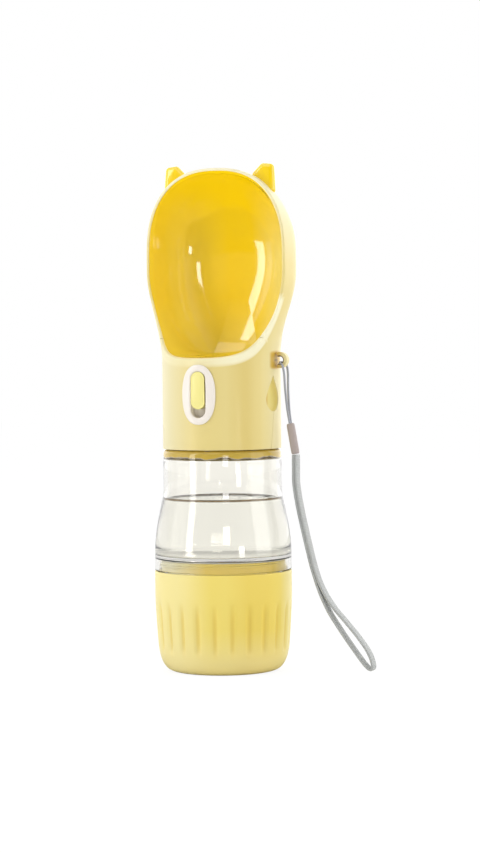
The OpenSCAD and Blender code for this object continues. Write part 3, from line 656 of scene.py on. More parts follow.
class Form:
    """Collects grids of points in millimetres and makes one closed mesh of them."""

    def __init__(self):
        self.points, self.faces, self.uvs = [], [], []

    def add(self, points):
        base = sum(len(p) for p in self.points)
        self.points.append(np.asarray(points, float).reshape(-1, 3))
        return base

    def grid(self, points, wrap_rows=False, wrap_cols=False):
        points = np.asarray(points, float)
        rows, cols = points.shape[:2]
        base = self.add(points)
        for r in range(rows if wrap_rows else rows - 1):
            for c in range(cols if wrap_cols else cols - 1):
                r1, c1 = (r + 1) % rows, (c + 1) % cols
                self.faces.append(tuple(base + i for i in (r * cols + c, r * cols + c1, r1 * cols + c1, r1 * cols + c)))
        return base

    def cap(self, base, indices):
        self.faces.append(tuple(base + i for i in indices))

    def build(self, name, material, sharp=40.0, weld=0.0005, uv=None):
        mesh = bpy.data.meshes.new(name)
        verts = np.concatenate(self.points) * MM
        mesh.from_pydata(verts.tolist(), [], self.faces)
        if uv is not None:
            layer = mesh.uv_layers.new(name="UVMap")
            loops = np.zeros(len(mesh.loops), np.int32)
            mesh.loops.foreach_get("vertex_index", loops)
            layer.data.foreach_set("uv", np.asarray(uv, np.float32)[loops].ravel())
        bm = bmesh.new()
        bm.from_mesh(mesh)
        bmesh.ops.remove_doubles(bm, verts=bm.verts, dist=weld * MM)
        bmesh.ops.dissolve_degenerate(bm, edges=bm.edges, dist=1e-8)
        bmesh.ops.recalc_face_normals(bm, faces=bm.faces)
        limit = math.radians(sharp)
        for f in bm.faces:
            f.smooth = True
        for e in bm.edges:
            e.smooth = len(e.link_faces) != 2 or e.calc_face_angle(0) < limit
        bm.to_mesh(mesh)
        bm.free()
        mesh.materials.append(material)
        obj = bpy.data.objects.new(name, mesh)
        bpy.context.scene.collection.objects.link(obj)
        return obj


def fit(obj, body, slot, *nodes):
    """Rides a finished piece on its body, for the CAD nodes that it shows; slot is not used."""
    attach(obj, body)
    if nodes:
        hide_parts(*nodes)
    return obj


def lathe(profile, segments, shape=None):
    """Grid of a profile of (radius, height) turned about Z."""
    profile = np.asarray(profile, float)
    a = np.linspace(0, 2 * math.pi, segments, endpoint=False)
    r = profile[:, 0][:, None] * np.ones_like(a)
    z = profile[:, 1][:, None] * np.ones_like(a)
    if shape:
        r = shape(r, z, a[None, :])
    return np.stack([r * np.cos(a), r * np.sin(a), z], -1)


def rounded(points, radius, steps=5):
    """Profile with its corners rounded."""
    points = [np.array(p, float) for p in points]
    out = [points[0]]
    for a, b, c in zip(points, points[1:], points[2:]):
        r = radius.get(tuple(np.round(b, 3)), 0) if isinstance(radius, dict) else radius
        u, v = a - b, c - b
        d = min(r, np.linalg.norm(u) * 0.45, np.linalg.norm(v) * 0.45)
        if d <= 0:
            out.append(b)
            continue
        p, q = b + u / np.linalg.norm(u) * d, b + v / np.linalg.norm(v) * d
        for t in np.linspace(0, 1, steps + 1):
            out.append((1 - t) ** 2 * p + 2 * t * (1 - t) * b + t * t * q)
    out.append(points[-1])
    return np.array(out)


# ------------------------------------------------------------------ food cup


def cup_side(inset, steps):
    return bezier(
        (FOOT_R, inset),
        (FOOT_R + FOOT_ROUND - inset / 2, inset),
        (CUP_R - CUP_TAPER - 0.5 - inset, FOOT_ROUND + inset),
        (CUP_R - CUP_TAPER - inset, TAPER_Z),
        steps,
    )


def flutes(r, z, a):
    """Presses soft upright flutes into the outside of the cup."""
    pitch = 2 * math.pi / FLUTES
    off = (a + pitch / 2) % pitch - pitch / 2
    side = np.abs(off) * CUP_R
    reach = math.sqrt(FLUTE_R**2 - (FLUTE_R - FLUTE_DEPTH) ** 2) + 0.5
    ends = smooth((FLUTE_HIGH + 4 - z) / 7) * smooth((z - FLUTE_LOW + 3) / 4)
    depth = FLUTE_DEPTH * ends * (0.5 + 0.5 * np.cos(math.pi * clamp(side / reach)))
    return np.where(r > CUP_R - 4, r - depth, r)


def make_cup():
    side = cup_side(0, 28)
    rows = [(r, z) for r, z in side]
    for z in np.linspace(TAPER_Z + 0.6, CUP_H - 0.5, 60):
        t = clamp((z - TAPER_Z) / (TAPER_TOP - TAPER_Z))
        rows.append((CUP_R - CUP_TAPER * (1 - t) * (1 - 0.3 * t), z))
    rim = [(CUP_R - 0.15, CUP_H - 0.12), (CUP_R - 0.5, CUP_H), (CUP_NECK_R + 0.3, CUP_H), (CUP_NECK_R, CUP_H + 0.3)]
    top = [(CUP_NECK_R, CUP_NECK_TOP - 0.4), (CUP_NECK_R - 0.4, CUP_NECK_TOP), (CUP_NECK_R - 1.8, CUP_NECK_TOP)]
    inner_neck = CUP_NECK_R - CUP_WALL
    inside = [(inner_neck, CUP_NECK_TOP - 0.4), (inner_neck, CUP_H - 1)]
    inside += [(r, z) for r, z in cup_side(CUP_WALL, 12)[::-1]]
    foot = [(0.01, 1.0), (FOOT_R - 3.4, 1.0), (FOOT_R - 2.6, 0.8), (FOOT_R - 2.0, 0.12), (FOOT_R - 1.2, 0)]
    form = Form()
    outline = foot + rows + rim + top + inside + [(0.01, CUP_WALL)]
    form.grid(lathe(outline, 24 * FLUTES, flutes), wrap_cols=True)
    cup = form.build("cup_body", MATS["cup_plastic"], weld=0.02)
    fit(cup, "cup", "cup_plastic", "food_cup")


def make_thread(name, radius, low, turns, pitch, height, body, slot, root=0.8):
    """Raised thread that runs out at both ends."""
    steps = int(turns * 72)
    t = np.linspace(0, 1, steps + 1)
    a = 2 * math.pi * turns * t
    fade = smooth(t / 0.06) * smooth((1 - t) / 0.06)
    rows = []
    for dz, dr in ((-root, -0.25), (-root * 0.45, height), (root * 0.45, height), (root, -0.25)):
        r = radius + mix(-0.25, dr, fade)
        rows.append(np.stack([r * np.cos(a), r * np.sin(a), low + pitch * turns * t + dz], -1))
    form = Form()
    base = form.grid(np.array(rows), wrap_rows=True)
    n = steps + 1
    form.cap(base, [0, n, 2 * n, 3 * n])
    form.cap(base, [3 * n + steps, 2 * n + steps, n + steps, steps])
    return fit(form.build(name, MATS[slot], sharp=25), body, slot)


# ------------------------------------------------------------------ clear bottle and water


def belly(inset, steps):
    return bezier(
        (CUP_R - inset, SKIRT_TOP),
        (CUP_R - inset, SKIRT_TOP + 10),
        (WAIST_R + 2.2 - inset, BELLY_TOP - 8.5),
        (WAIST_R + 0.4 - inset, BELLY_TOP),
        steps,
    )


def bottle_inside(inset=0.0):
    """Inner wall of the bottle from the middle of its floor to its mouth."""
    w = BOTTLE_WALL + inset
    floor = FLOOR_Z + 1.2
    corner = bezier((CUP_R - w - 1.4, floor), (CUP_R - w - 0.5, floor), (CUP_R - w, floor + 0.5), (CUP_R - w, floor + 1.4), 8)
    low = [(0.01, floor)] + [tuple(p) for p in corner]
    side = [tuple(p) for p in belly(w, 24) if p[1] > floor + 1.9]
    waist = [(WAIST_R - w, WAIST_Z), (WAIST_R - w, SHOULDER_Z - 6)]
    neck = [tuple(p) for p in bezier((WAIST_R - w, SHOULDER_Z - 5), (WAIST_R - w, SHOULDER_Z - 2.6), (NECK_R - w, SHOULDER_Z - 3), (NECK_R - w, SHOULDER_Z - 0.5), 8)]
    return low + side + waist + neck + [(NECK_R - w, NECK_TOP - 0.3)]


def make_bottle():
    bore = CUP_NECK_R + 1.4
    outer = [(0.01, FLOOR_Z), (bore - 0.6, FLOOR_Z), (bore, FLOOR_Z - 0.6), (bore, CUP_H + 0.5), (bore + 0.35, CUP_H + 0.12)]
    outer += [(CUP_R - 0.4, CUP_H + 0.1), (CUP_R, CUP_H + 0.5)]
    outer += [(CUP_R, z) for z in np.linspace(CUP_H + 1.5, SKIRT_TOP, 6)[:-1]]
    outer += [tuple(p) for p in belly(0, 30)]
    outer += [(WAIST_R, WAIST_Z), (WAIST_R, 95), (WAIST_R, SHOULDER_Z - 2)]
    outer += [(WAIST_R - 0.25, SHOULDER_Z - 1.1), (WAIST_R - 0.8, SHOULDER_Z - 0.4), (WAIST_R - 2, SHOULDER_Z)]
    outer += [(NECK_R + 0.4, SHOULDER_Z), (NECK_R, SHOULDER_Z + 0.4), (NECK_R, NECK_TOP - 0.3), (NECK_R - 0.3, NECK_TOP)]
    outline = outer + [(NECK_R - BOTTLE_WALL + 0.3, NECK_TOP)] + bottle_inside()[::-1]
    form = Form()
    form.grid(lathe(outline, 160), wrap_cols=True)
    fit(form.build("bottle_clear", MATS["clear_plastic"], weld=0.02), "bottle", "clear_plastic", "bottle_body")


WATER_TOP = 83.0


def make_water():
    """Water to its level, with a raised edge and small ripples, just into the wall."""
    side = [(r + 0.06 if r > 1 else r, z - 0.06) for r, z in bottle_inside() if z < WATER_TOP - 0.6]
    edge = np.interp(WATER_TOP, [p[1] for p in bottle_inside()[9:]], [p[0] for p in bottle_inside()[9:]])
    side += [(edge + 0.06, WATER_TOP + 0.5)]
    form = Form()
    n = 160
    wall = lathe(side, n)
    a = np.linspace(0, 2 * math.pi, n, endpoint=False)
    rings = []
    for share in (0.985, 0.96, 0.92, *np.linspace(0.86, 0.02, 24)):
        r = edge * share
        x, y = r * np.cos(a), r * np.sin(a)
        ripple = 0.35 * np.sin(0.9 * x + 0.5 * y) * np.exp(-(((x - 13) / 11) ** 2) - ((y + 2) / 16) ** 2)
        ripple += 0.18 * np.sin(1.6 * x - 1.1 * y + 1) * np.exp(-(((x - 17) / 8) ** 2) - ((y + 6) / 12) ** 2)
        rise = 0.5 * math.exp(-((1 - share) * edge) / 0.6)
        rings.append(np.stack([x, y, WATER_TOP + rise + ripple * (1 - share**8)], -1))
    form.grid(np.concatenate([wall, rings]), wrap_cols=True)
    water = form.build("water", MATS["water"], weld=0.02)
    bm = bmesh.new()
    bm.from_mesh(water.data)
    bmesh.ops.holes_fill(bm, edges=[e for e in bm.edges if len(e.link_faces) == 1])
    bmesh.ops.recalc_face_normals(bm, faces=bm.faces)
    bm.to_mesh(water.data)
    bm.free()
    fit(water, "bottle", "clear_plastic")


# ------------------------------------------------------------------ head shells

LIP_LOW, LIP_HIGH = 0.85, 0.38


def bulge_at(z):
    """How far the rounded lip stands out of its wall: more round the mouth's low front."""
    return wall_at(z) * mix(LIP_LOW, LIP_HIGH, smooth((np.asarray(z, float) - SEAM_RIM_Z + 4) / 20))


def rim_line():
    """The rim in side view, drawn in by the lip's bulge: rows of y, z and the lip's way out."""
    s = np.concatenate([np.linspace(0.0, 0.3, 60) ** 2, np.linspace(0.1, 1, 60)])
    z = MOUTH_Z + RIM_LEN * s
    y = rim_y(z)
    dy, dz = np.gradient(y), np.gradient(z)
    size = np.hypot(dy, dz)
    back, down = dz / size, -dy / size
    bulge = bulge_at(z)
    line = np.stack([y + bulge * back, z + bulge * down, -back, -down], -1)
    line[0] = (y[0], z[0] - bulge[0], 0, 1)
    return line[np.argsort(line[:, 0])]


RIM = rim_line()


def edge_y(z):
    return np.interp(z, RIM[:, 1], RIM[:, 0])


def edge_z(y):
    return np.interp(y, RIM[:, 0], RIM[:, 1])


def lip_way(y):
    """Way out of the rim at a depth: up at the low front, towards -Y higher up."""
    return np.array([0.0, np.interp(y, RIM[:, 0], RIM[:, 2]), np.interp(y, RIM[:, 0], RIM[:, 3])])


LIP_CREST, LIP_FALL = 0.62, 0.22
LIP_STEPS = (0.01, 0.04, 0.09, 0.16, 0.25, 0.36, 0.48, 0.62, 0.76, 0.88, 0.96, 0.995)


def lip(outer, inner, out, bulge):
    """Edge of a wall, well rounded outside and falling a little towards the bowl."""
    points = []
    for v in LIP_STEPS:
        off = (v - LIP_CREST) / LIP_CREST
        rise = math.sqrt(1 - off * off) if v < LIP_CREST else 1 - LIP_FALL * (off * LIP_CREST / (1 - LIP_CREST)) ** 2
        points.append(mix(outer, inner, v) + out * bulge * rise)
    return points


def seam_gap(z):
    """The seam shows below the recess and is closed above it, as in the photograph."""
    return -0.01 + 0.17 * smooth((RECESS_Z - z) / 6)


def pocket(points):
    """Thickens a wall inwards round the thumb recess, so that the recess has a floor."""
    x, y, z = points[..., 0], points[..., 1], points[..., 2]
    away = np.hypot((y + SEAM_MID) / 9.5, (z - RECESS_Z - 3) / 15)
    depth = 2.1 * smooth((1.25 - away) / 0.35) * (x > 0)
    size = np.hypot(x, y)
    scale = (size - depth) / size
    return np.stack([x * scale, y * scale, z], -1)


def corner_z():
    """Height at which the seam meets the drawn-in rim."""
    z = SEAM_RIM_Z - 2
    for _ in range(60):
        z = mix(z, float(edge_z(float(seam_y(np.array(z))))), 0.3)
    return z


def make_rear_shell():
    low = [SLEEVE_Z, SLEEVE_Z + 0.4, *np.arange(110, SEAM_BEND, 3), SEAM_BEND, *np.arange(128, SCOOP_Z, 3), SCOOP_Z]
    z_x = corner_z()
    up = list(np.arange(SCOOP_Z + 1.5, z_x - 0.8, 1.5)) + [z_x - 0.01]
    rim = [z_x] + list(np.arange(z_x + 1.0, WIDE_Z, 1.6))
    flags = [0] * (len(low) + len(up)) + [1] * len(rim)
    zo = np.array(low + up + rim)
    zi = zo.copy()
    turn = np.radians(90 - 89 * np.linspace(1, 0.03, 56) ** 1.5)
    zo = np.concatenate([zo, WIDE_Z + (TOP_Z - WIDE_Z) * np.sin(turn)])
    zi = np.concatenate([zi, WIDE_Z + (TOP_Z - WIDE_Z - RIM_WALL) * np.sin(turn)])
    flags += [1] * len(turn)
    sides = 84

    def front(z, flag):
        return edge_y(z) if flag else float(seam_y(np.array(z))) + seam_gap(z)

    def row(z, flag, inset):
        a0 = float(angle_at(np.array(z), front(z, flag), inset))
        return section(np.array(z), np.linspace(a0, math.pi - a0, sides + 1), inset)

    outer = [row(z, f, 0) for z, f in zip(zo, flags)]
    inner = [pocket(row(z, f, wall_at(z))) for z, f in zip(zi, flags)]
    loops = []
    count = len(zo)
    for k in range(count):
        sides_of = []
        for end in (0, -1):
            eo, ei = outer[k][end], inner[k][end]
            bulge = float(bulge_at(zo[k])) if flags[k] else 0.0
            sides_of.append(lip(eo, ei, lip_way(eo[1]), bulge))
        loops.append(np.concatenate([outer[k], sides_of[1], inner[k][::-1], sides_of[0][::-1]]))
    form = Form()
    base = form.grid(np.array(loops), wrap_cols=True)
    n, m, extra = len(loops[0]), sides + 1, len(sides_of[0])
    inner_at = lambda j: m + extra + (m - 1 - j)
    for j in range(sides):
        ring = [j, j + 1, inner_at(j + 1), inner_at(j)]
        if j == 0:
            ring = [0, 1, inner_at(1), inner_at(0), *range(2 * m + extra, n)]
        if j == sides - 1:
            ring = [j, j + 1, *range(m, m + extra), inner_at(j + 1), inner_at(j)]
        form.cap(base, ring)
    top = (count - 1) * n
    form.cap(base, [top + j for j in range(m)])
    form.cap(base, [top + m + extra + j for j in range(m)])
    left = [m - 1, *range(m, m + extra), m + extra]
    right = [0, *range(n - 1, n - 1 - extra, -1), 2 * m + extra - 1]
    for i in range(len(left) - 1):
        form.cap(base + top, [left[i], left[i + 1], right[i + 1], right[i]])
    return form.build("rear_shell_skin", MATS["shell_plastic"], sharp=32)


def make_front_cover():
    """Front half of the sleeve with the rounded lower lip of the mouth."""
    edge = math.acos(SEAM_MID / SLEEVE_R) - 0.0008
    z_x = corner_z()
    corner = math.acos(-float(edge_y(z_x)) / float(half_w(np.array(z_x), 0)))
    phis = np.concatenate([np.linspace(-edge, -corner, 22), np.linspace(-corner, corner, 121)[1:-1], np.linspace(corner, edge, 22)])
    high = np.linspace(SCOOP_Z, SEAM_RIM_Z, 200)
    high_y = seam_y(high)
    low = np.linspace(SLEEVE_Z, SEAM_BEND, 60)
    low_y = seam_y(low) - 0.07

    def column(phi, inset):
        r0 = SLEEVE_R
        bottom, top = SLEEVE_Z, None
        y = -r0 * math.cos(phi)
        if y > low_y[0]:
            bottom = np.interp(y, low_y, low)
        z = SCOOP_Z + 3
        for _ in range(30):
            r = float(half_w(np.array(z), inset * wall_at(z)))
            y = -r * math.cos(phi)
            seam = np.interp(-y, -high_y, high)
            z = mix(z, min(edge_z(y), seam), 0.7)
        top = max(z, bottom + 0.5)
        rows = np.concatenate([bottom + np.array([0, 0.35]), np.linspace(bottom + 1, top, 46)])
        r = half_w(rows, inset * wall_at(rows))
        return np.stack([r * math.sin(phi), -r * math.cos(phi), rows], -1)

    outer = np.array([column(p, 0) for p in phis])
    inner = pocket(np.array([column(p, 1) for p in phis]))
    lips = []
    for phi, eo, ei in zip(phis, outer[:, -1], inner[:, -1]):
        fade = 1 - float(smooth((abs(phi) - corner - 0.02) / 0.05))
        lips.append(lip(eo, ei, lip_way(eo[1]), float(bulge_at(eo[2])) * fade))
    loops = np.concatenate([outer, np.array(lips), inner[:, ::-1]], axis=1)
    form = Form()
    base = form.grid(loops, wrap_cols=True)
    n = loops.shape[1]
    form.cap(base, list(range(n)))
    form.cap(base, [(len(phis) - 1) * n + j for j in range(n)][::-1])
    return form.build("front_cover_skin", MATS["shell_plastic"], sharp=32)


def oval(w, h, t, n=2.3):
    x = w / 2 * np.sign(np.cos(t)) * np.abs(np.cos(t)) ** (2 / n)
    z = h / 2 * np.sign(np.sin(t)) * np.abs(np.sin(t)) ** (2 / n)
    return np.stack([x, z], -1)


def stadium(w, h, t):
    """Outline with straight sides and round ends, at polar angles."""
    r, half = w / 2, (h - w) / 2
    c, s = np.cos(t), np.sin(t)
    side = r / np.maximum(np.abs(c), 1e-9)
    straight = np.abs(side * s) <= half
    b = half * np.abs(s)
    arc = b + np.sqrt(np.maximum(b * b - half * half + r * r, 0))
    d = np.where(straight, side, arc)
    return np.stack([d * c, d * s], -1)


def on_front(flat, z, radius):
    """Wraps flat (x, z) points on the sleeve's front at a radius."""
    a = flat[..., 0] / SLEEVE_R
    return np.stack([radius * np.sin(a), -radius * np.cos(a), z + flat[..., 1]], -1)


def straight_front(flat, z, depth):
    return np.stack([flat[..., 0], -depth * np.ones_like(flat[..., 0]), z + flat[..., 1]], -1)


def cut(obj, cutter):
    """Cuts a closed cutter out of a piece, for good."""
    mod = obj.modifiers.new("cut", "BOOLEAN")
    mod.operation = "DIFFERENCE"
    mod.solver = "EXACT"
    mod.object = cutter
    dg = bpy.context.evaluated_depsgraph_get()
    made = bpy.data.meshes.new_from_object(obj.evaluated_get(dg))
    obj.modifiers.remove(mod)
    old = obj.data
    obj.data = made
    made.name = old.name
    bpy.data.meshes.remove(old)


def sharpen(obj, degrees):
    bm = bmesh.new()
    bm.from_mesh(obj.data)
    for f in bm.faces:
        f.smooth = True
    for e in bm.edges:
        e.smooth = len(e.link_faces) != 2 or e.calc_face_angle(0) < math.radians(degrees)
    bm.to_mesh(obj.data)
    bm.free()


def mark_lip_highlight(obj):
    """Marks the points within a lip's width of the mouth's edge, where the wall is thin, for the painted highlight on
    the lip.
    """
    points = np.array([v.co for v in obj.data.vertices]) / MM
    away = np.hypot(points[:, 1, None] - RIM[:, 0], points[:, 2, None] - RIM[:, 1]).min(1)
    share = obj.data.attributes.new("lip", "FLOAT", "POINT")
    share.data.foreach_set("value", smooth((2.3 - away) / 0.9).astype(np.float32))


def make_heads():
    rear, cover = make_rear_shell(), make_front_cover()
    t = np.linspace(0, 2 * math.pi, 64, endpoint=False)
    form = Form()
    base = form.grid(np.array([straight_front(oval(BEZEL_W - 3, BEZEL_H - 3, t), BEZEL_Z, d) for d in (20, 34)]), wrap_cols=True)
    form.cap(base, range(64))
    form.cap(base, [64 + i for i in range(64)][::-1])
    hole = form.build("cutter_hole", MATS["shell_plastic"])
    cut(cover, hole)
    recess = recess_cutter()
    cut(cover, recess)
    cut(rear, recess)
    for helper in (hole, recess):
        bpy.data.objects.remove(helper)
    for obj in (rear, cover):
        sharpen(obj, 32)
        mark_lip_highlight(obj)
    fit(rear, "head", "shell_plastic", "rear_shell")
    fit(cover, "head", "shell_plastic", "front_cover")


def recess_cutter():
    """Drop-shaped scoop with a rounded floor, across the seam."""
    t = np.linspace(0, 2 * math.pi, 72, endpoint=False)
    drop = []
    for v in t:
        c, s = math.cos(v), math.sin(v)
        if s <= 0:
            drop.append((RECESS_R * c, RECESS_R * s))
        else:
            drop.append((RECESS_R * c * (1 - 0.86 * s**1.6), RECESS_TIP * s))
    drop = np.array(drop)
    rings = []
    for size, depth in ((1.05, 4.0), (1.0, 0.0), (0.95, -1.3), (0.88, -1.9), (0.76, -2.25), (0.55, -RECESS_DEPTH), (0.25, -RECESS_DEPTH)):
        y = -SEAM_MID + drop[:, 0] * size
        z = RECESS_Z + drop[:, 1] * size + (1 - size) * 2.0
        r = SLEEVE_R + depth
        rings.append(np.stack([np.sqrt(r * r - y * y), y, z], -1))
    form = Form()
    base = form.grid(np.array(rings), wrap_cols=True)
    form.cap(base, list(range(72))[::-1])
    form.cap(base, [6 * 72 + i for i in range(72)])
    return form.build("cutter_recess", MATS["shell_plastic"])


def make_eye():
    """Loop for the cord: part of a rounded ring, its ends in the shell."""
    reach = math.radians(116)
    around = np.linspace(-reach, reach, 49)
    cross = []
    half_t, half_y, r = 1.05, EYE_W / 2, 0.5
    for cx, cy, start in ((half_t - r, half_y - r, 0), (-half_t + r, half_y - r, 90), (-half_t + r, -half_y + r, 180), (half_t - r, -half_y + r, 270)):
        for d in np.linspace(0, 90, 6):
            a = math.radians(start + d)
            cross.append((cx + r * math.cos(a), cy + r * math.sin(a)))
    cross = np.array(cross)
    mid = 2.8
    rows = []
    for a in around:
        rr = mid + cross[:, 0]
        rows.append(np.stack([EYE_X + rr * math.cos(a), cross[:, 1], EYE_Z + rr * math.sin(a)], -1))
    form = Form()
    base = form.grid(np.array(rows), wrap_cols=True)
    n = len(cross)
    form.cap(base, list(range(n))[::-1])
    form.cap(base, [(len(around) - 1) * n + i for i in range(n)])
    fit(form.build("strap_eye_loop", MATS["shell_plastic"], sharp=50), "head", "shell_plastic")


# ------------------------------------------------------------------ bowl and ears


BOWL_TURN = 0.8


def bowl_ring(step, hollow, count):
    """Ring of the bowl, from the back (step 0 to 1) round to the mouth (step 1 to 2)."""
    a = (np.arange(count) + 0.5) * 2 * math.pi / count
    s = np.sin(a)
    up = s >= 0
    m = np.where(up, 4.0, 4 + 4 * s * s)
    if step < 1:
        share = BOWL_TURN * step + 0 * a
        deep = crown(share, m)
    else:
        deep = crown(BOWL_TURN, m) * (2 - step)
        share = crown(deep, m)
    set_in = -0.1 + hollow * BOWL_WALL * mix(0.2, 1.0, smooth(deep / 0.6))
    low = MOUTH_Z + GAP + set_in
    z = BOWL_MID + np.where(up, TOP_Z - RIM_WALL - set_in - BOWL_MID, BOWL_MID - low) * s
    inset = wall_at(z) + set_in
    x = np.sign(np.cos(a)) * mouth_x(z, inset)
    xs, zs = share * x, mix(BOWL_MID, z, share)
    y0 = np.maximum(rim_y(z) + RIM_SET, front_y(z, inset))
    sink = np.where(up, 0, BOWL_SINK * share * s**4)
    y = mix(y0, back_at(xs, zs, wall_at(zs) + set_in + GAP), deep)
    return np.stack([xs, y, zs - sink], -1)


def even_back(rings, depths):
    """Evens the bowl's back, so that reflections run straight: a smooth sheet through its points."""
    points = np.array(rings)
    x, y, z = (points[..., i] for i in range(3))
    u, v = (x / HEAD_HALF) ** 2, (z - BOWL_MID) / (TOP_Z - BOWL_MID)
    deep = np.array(depths)[:, None] * np.ones_like(x)
    powers = [(i, 0) for i in range(4)] + [(0, j) for j in range(1, 5)] + [(1, 1), (1, 2)]
    terms = np.stack([u**i * v**j for i, j in powers], -1)
    use = deep > 0.75
    weight = np.gradient(np.hypot(x, z - BOWL_MID), axis=0)[use]
    weight = np.sqrt(np.abs(weight * np.hypot(x, z - BOWL_MID)[use]) + 1e-3)
    found = np.linalg.lstsq(terms[use] * weight[:, None], y[use] * weight, rcond=None)[0]
    points[..., 1] = mix(y, terms @ found, smooth((deep - 0.2) / 0.75))
    return list(points)


def depth_of(step):
    return float(crown(BOWL_TURN * step, 4.0)) if step < 1 else float(crown(BOWL_TURN, 4.0)) * (2 - step)


def make_bowl():
    count = 132
    steps = list(np.linspace(0.03, 1, 25)) + [1 + v * v for v in np.linspace(0.1, 0.5, 12)]
    steps += list(np.linspace(1.29, 1.93, 18)) + [1.96, 1.98, 1.992, 2.0]
    inner = even_back([bowl_ring(step, 1, count) for step in steps], [depth_of(step) for step in steps])
    outer = [bowl_ring(step, 0, count) for step in steps]
    form = Form()
    base = form.grid(np.array(inner + outer[::-1]), wrap_cols=True)
    form.cap(base, range(count))
    form.cap(base, [(2 * len(steps) - 1) * count + i for i in range(count)][::-1])
    bowl = form.build("bowl_skin", MATS["bowl_plastic"], sharp=45)
    form = Form()
    base = form.grid(lathe([(OUTLET_R, SCOOP_Z - 1.5), (OUTLET_R, SCOOP_Z + 5)], 48) + np.array([0, RISER_BACK, 0]), wrap_cols=True)
    form.cap(base, range(48))
    form.cap(base, [48 + i for i in range(48)][::-1])
    drill = form.build("cutter_outlet", MATS["bowl_plastic"])
    cut(bowl, drill)
    bpy.data.objects.remove(drill)
    sharpen(bowl, 45)
    fit(bowl, "head", "bowl_plastic", "bowl")


def make_ear(side, name):
    """Rounded ear: the skin round four balls."""
    balls = [[19.2, 0, -3.6, 2.0], [22.9, 0.3, -0.3, 2.3], [25.9, 0.4, -0.6, 2.3], [26.3, 0, -10.6, 2.6]]
    balls = np.array(balls)
    u = np.linspace(0, 2 * math.pi, 72, endpoint=False)
    rows = []
    for v in np.linspace(-88, 88, 49):
        e = math.radians(v)
        way = np.stack([math.cos(e) * np.cos(u), math.sin(e) * np.ones_like(u), math.cos(e) * np.sin(u)], -1)
        reach = way @ balls[:, :3].T + balls[:, 3]
        pick = reach.argmax(1)
        rows.append(balls[pick, :3] + balls[pick, 3:] * way)
    form = Form()
    points = np.array(rows)
    points[..., 0] = side * (points[..., 0] + HEAD_HALF - 36)
    points[..., 2] += TOP_Z
    base = form.grid(points, wrap_cols=True)
    form.cap(base, range(72))
    form.cap(base, [48 * 72 + i for i in range(72)][::-1])
    fit(form.build(name + "_skin", MATS["bowl_plastic"], sharp=60, weld=0.01), "head", "bowl_plastic", name)


# ------------------------------------------------------------------ button


def make_bezel():
    t = np.linspace(0, 2 * math.pi, 120, endpoint=False)
    outer, inner = oval(BEZEL_W, BEZEL_H, t), stadium(WINDOW_W, WINDOW_H, t)
    rows = []
    for share, rise in ((0, -0.3), (0, 0.25), (0.02, 0.55), (0.07, 0.78), (0.16, 0.88), (0.35, 0.9), (0.6, 0.86), (0.82, 0.78), (0.92, 0.66), (0.98, 0.4), (1, 0.0), (1, -2.6)):
        rows.append(on_front(mix(outer, inner, share), BEZEL_Z, SLEEVE_R + rise))
    straight = rows[-2].copy()
    straight[:, 1] = -np.sqrt((SLEEVE_R - 2.6) ** 2 - straight[:, 0] ** 2)
    rows[-1] = straight
    rows.append(on_front(mix(outer, inner, 0.75), BEZEL_Z, SLEEVE_R - 2.6))
    rows.append(on_front(mix(outer, inner, 0.5), BEZEL_Z, SLEEVE_R - 0.3))
    form = Form()
    form.grid(np.array(rows), wrap_rows=True, wrap_cols=True)
    fit(form.build("bezel_ring", MATS["white_plastic"], sharp=50), "head", "white_plastic", "button_bezel")


def make_button():
    """Domed cap over the CAD button's face, with its stem and fork kept below."""
    t = np.linspace(0, 2 * math.pi, 96, endpoint=False)
    rows = []
    for size, depth in ((1, 26.5), (1, 28.5), (0.985, 28.8), (0.94, 29.05), (0.86, 29.2), (0.7, 29.35), (0.45, 29.5), (0.2, 29.55)):
        flat = stadium(BUTTON_W, BUTTON_H, t) * size
        rows.append(straight_front(flat, BUTTON_Z, depth))
    form = Form()
    base = form.grid(np.array(rows), wrap_cols=True)
    form.cap(base, list(range(96))[::-1])
    form.cap(base, [7 * 96 + i for i in range(96)])
    fit(form.build("button_cap", MATS["button_plastic"], sharp=50), "button", "button_plastic")


# ------------------------------------------------------------------ strap


def curve_through(points, steps):
    p = np.array(points, float)
    out = []
    for i in range(len(p) - 1):
        a, b, c, d = p[max(i - 1, 0)], p[i], p[i + 1], p[min(i + 2, len(p) - 1)]
        for s in range(steps):
            t = s / steps
            out.append(b + 0.5 * t * (c - a + t * (2 * a - 5 * b + 4 * c - d + t * (3 * (b - c) + d - a))))
    out.append(p[-1])
    return np.array(out)


CORD_HALF = [(35.4, 0.8, 119.1), (34.4, 1.3, 126), (33.7, 1.9, 135), (33.4, 2.5, 143), (32.6, 2.8, 146.8), (31.1, 1.8, 148.1)]
CORD_ROUTE = [(x, -y, z) for x, y, z in CORD_HALF] + [(31.1, 0, 148.1)] + CORD_HALF[::-1]
STRAP_ROUTE = [
    (38.1, 0, 104.1), (38.1, 0, 98), (38.2, 0, 90), (39.8, 0, 80), (42, 0, 70), (44.4, 0, 60), (47, 0, 50),
    (50.6, 0, 40), (55.6, 0, 31), (61, 0, 24), (66.6, 0, 17), (72, 0, 9.8), (76, 0, 3),
]
SLEEVE_TOP, SLEEVE_END = np.array([35.4, 0, 119.0]), np.array([38.0, 0, 104.5])


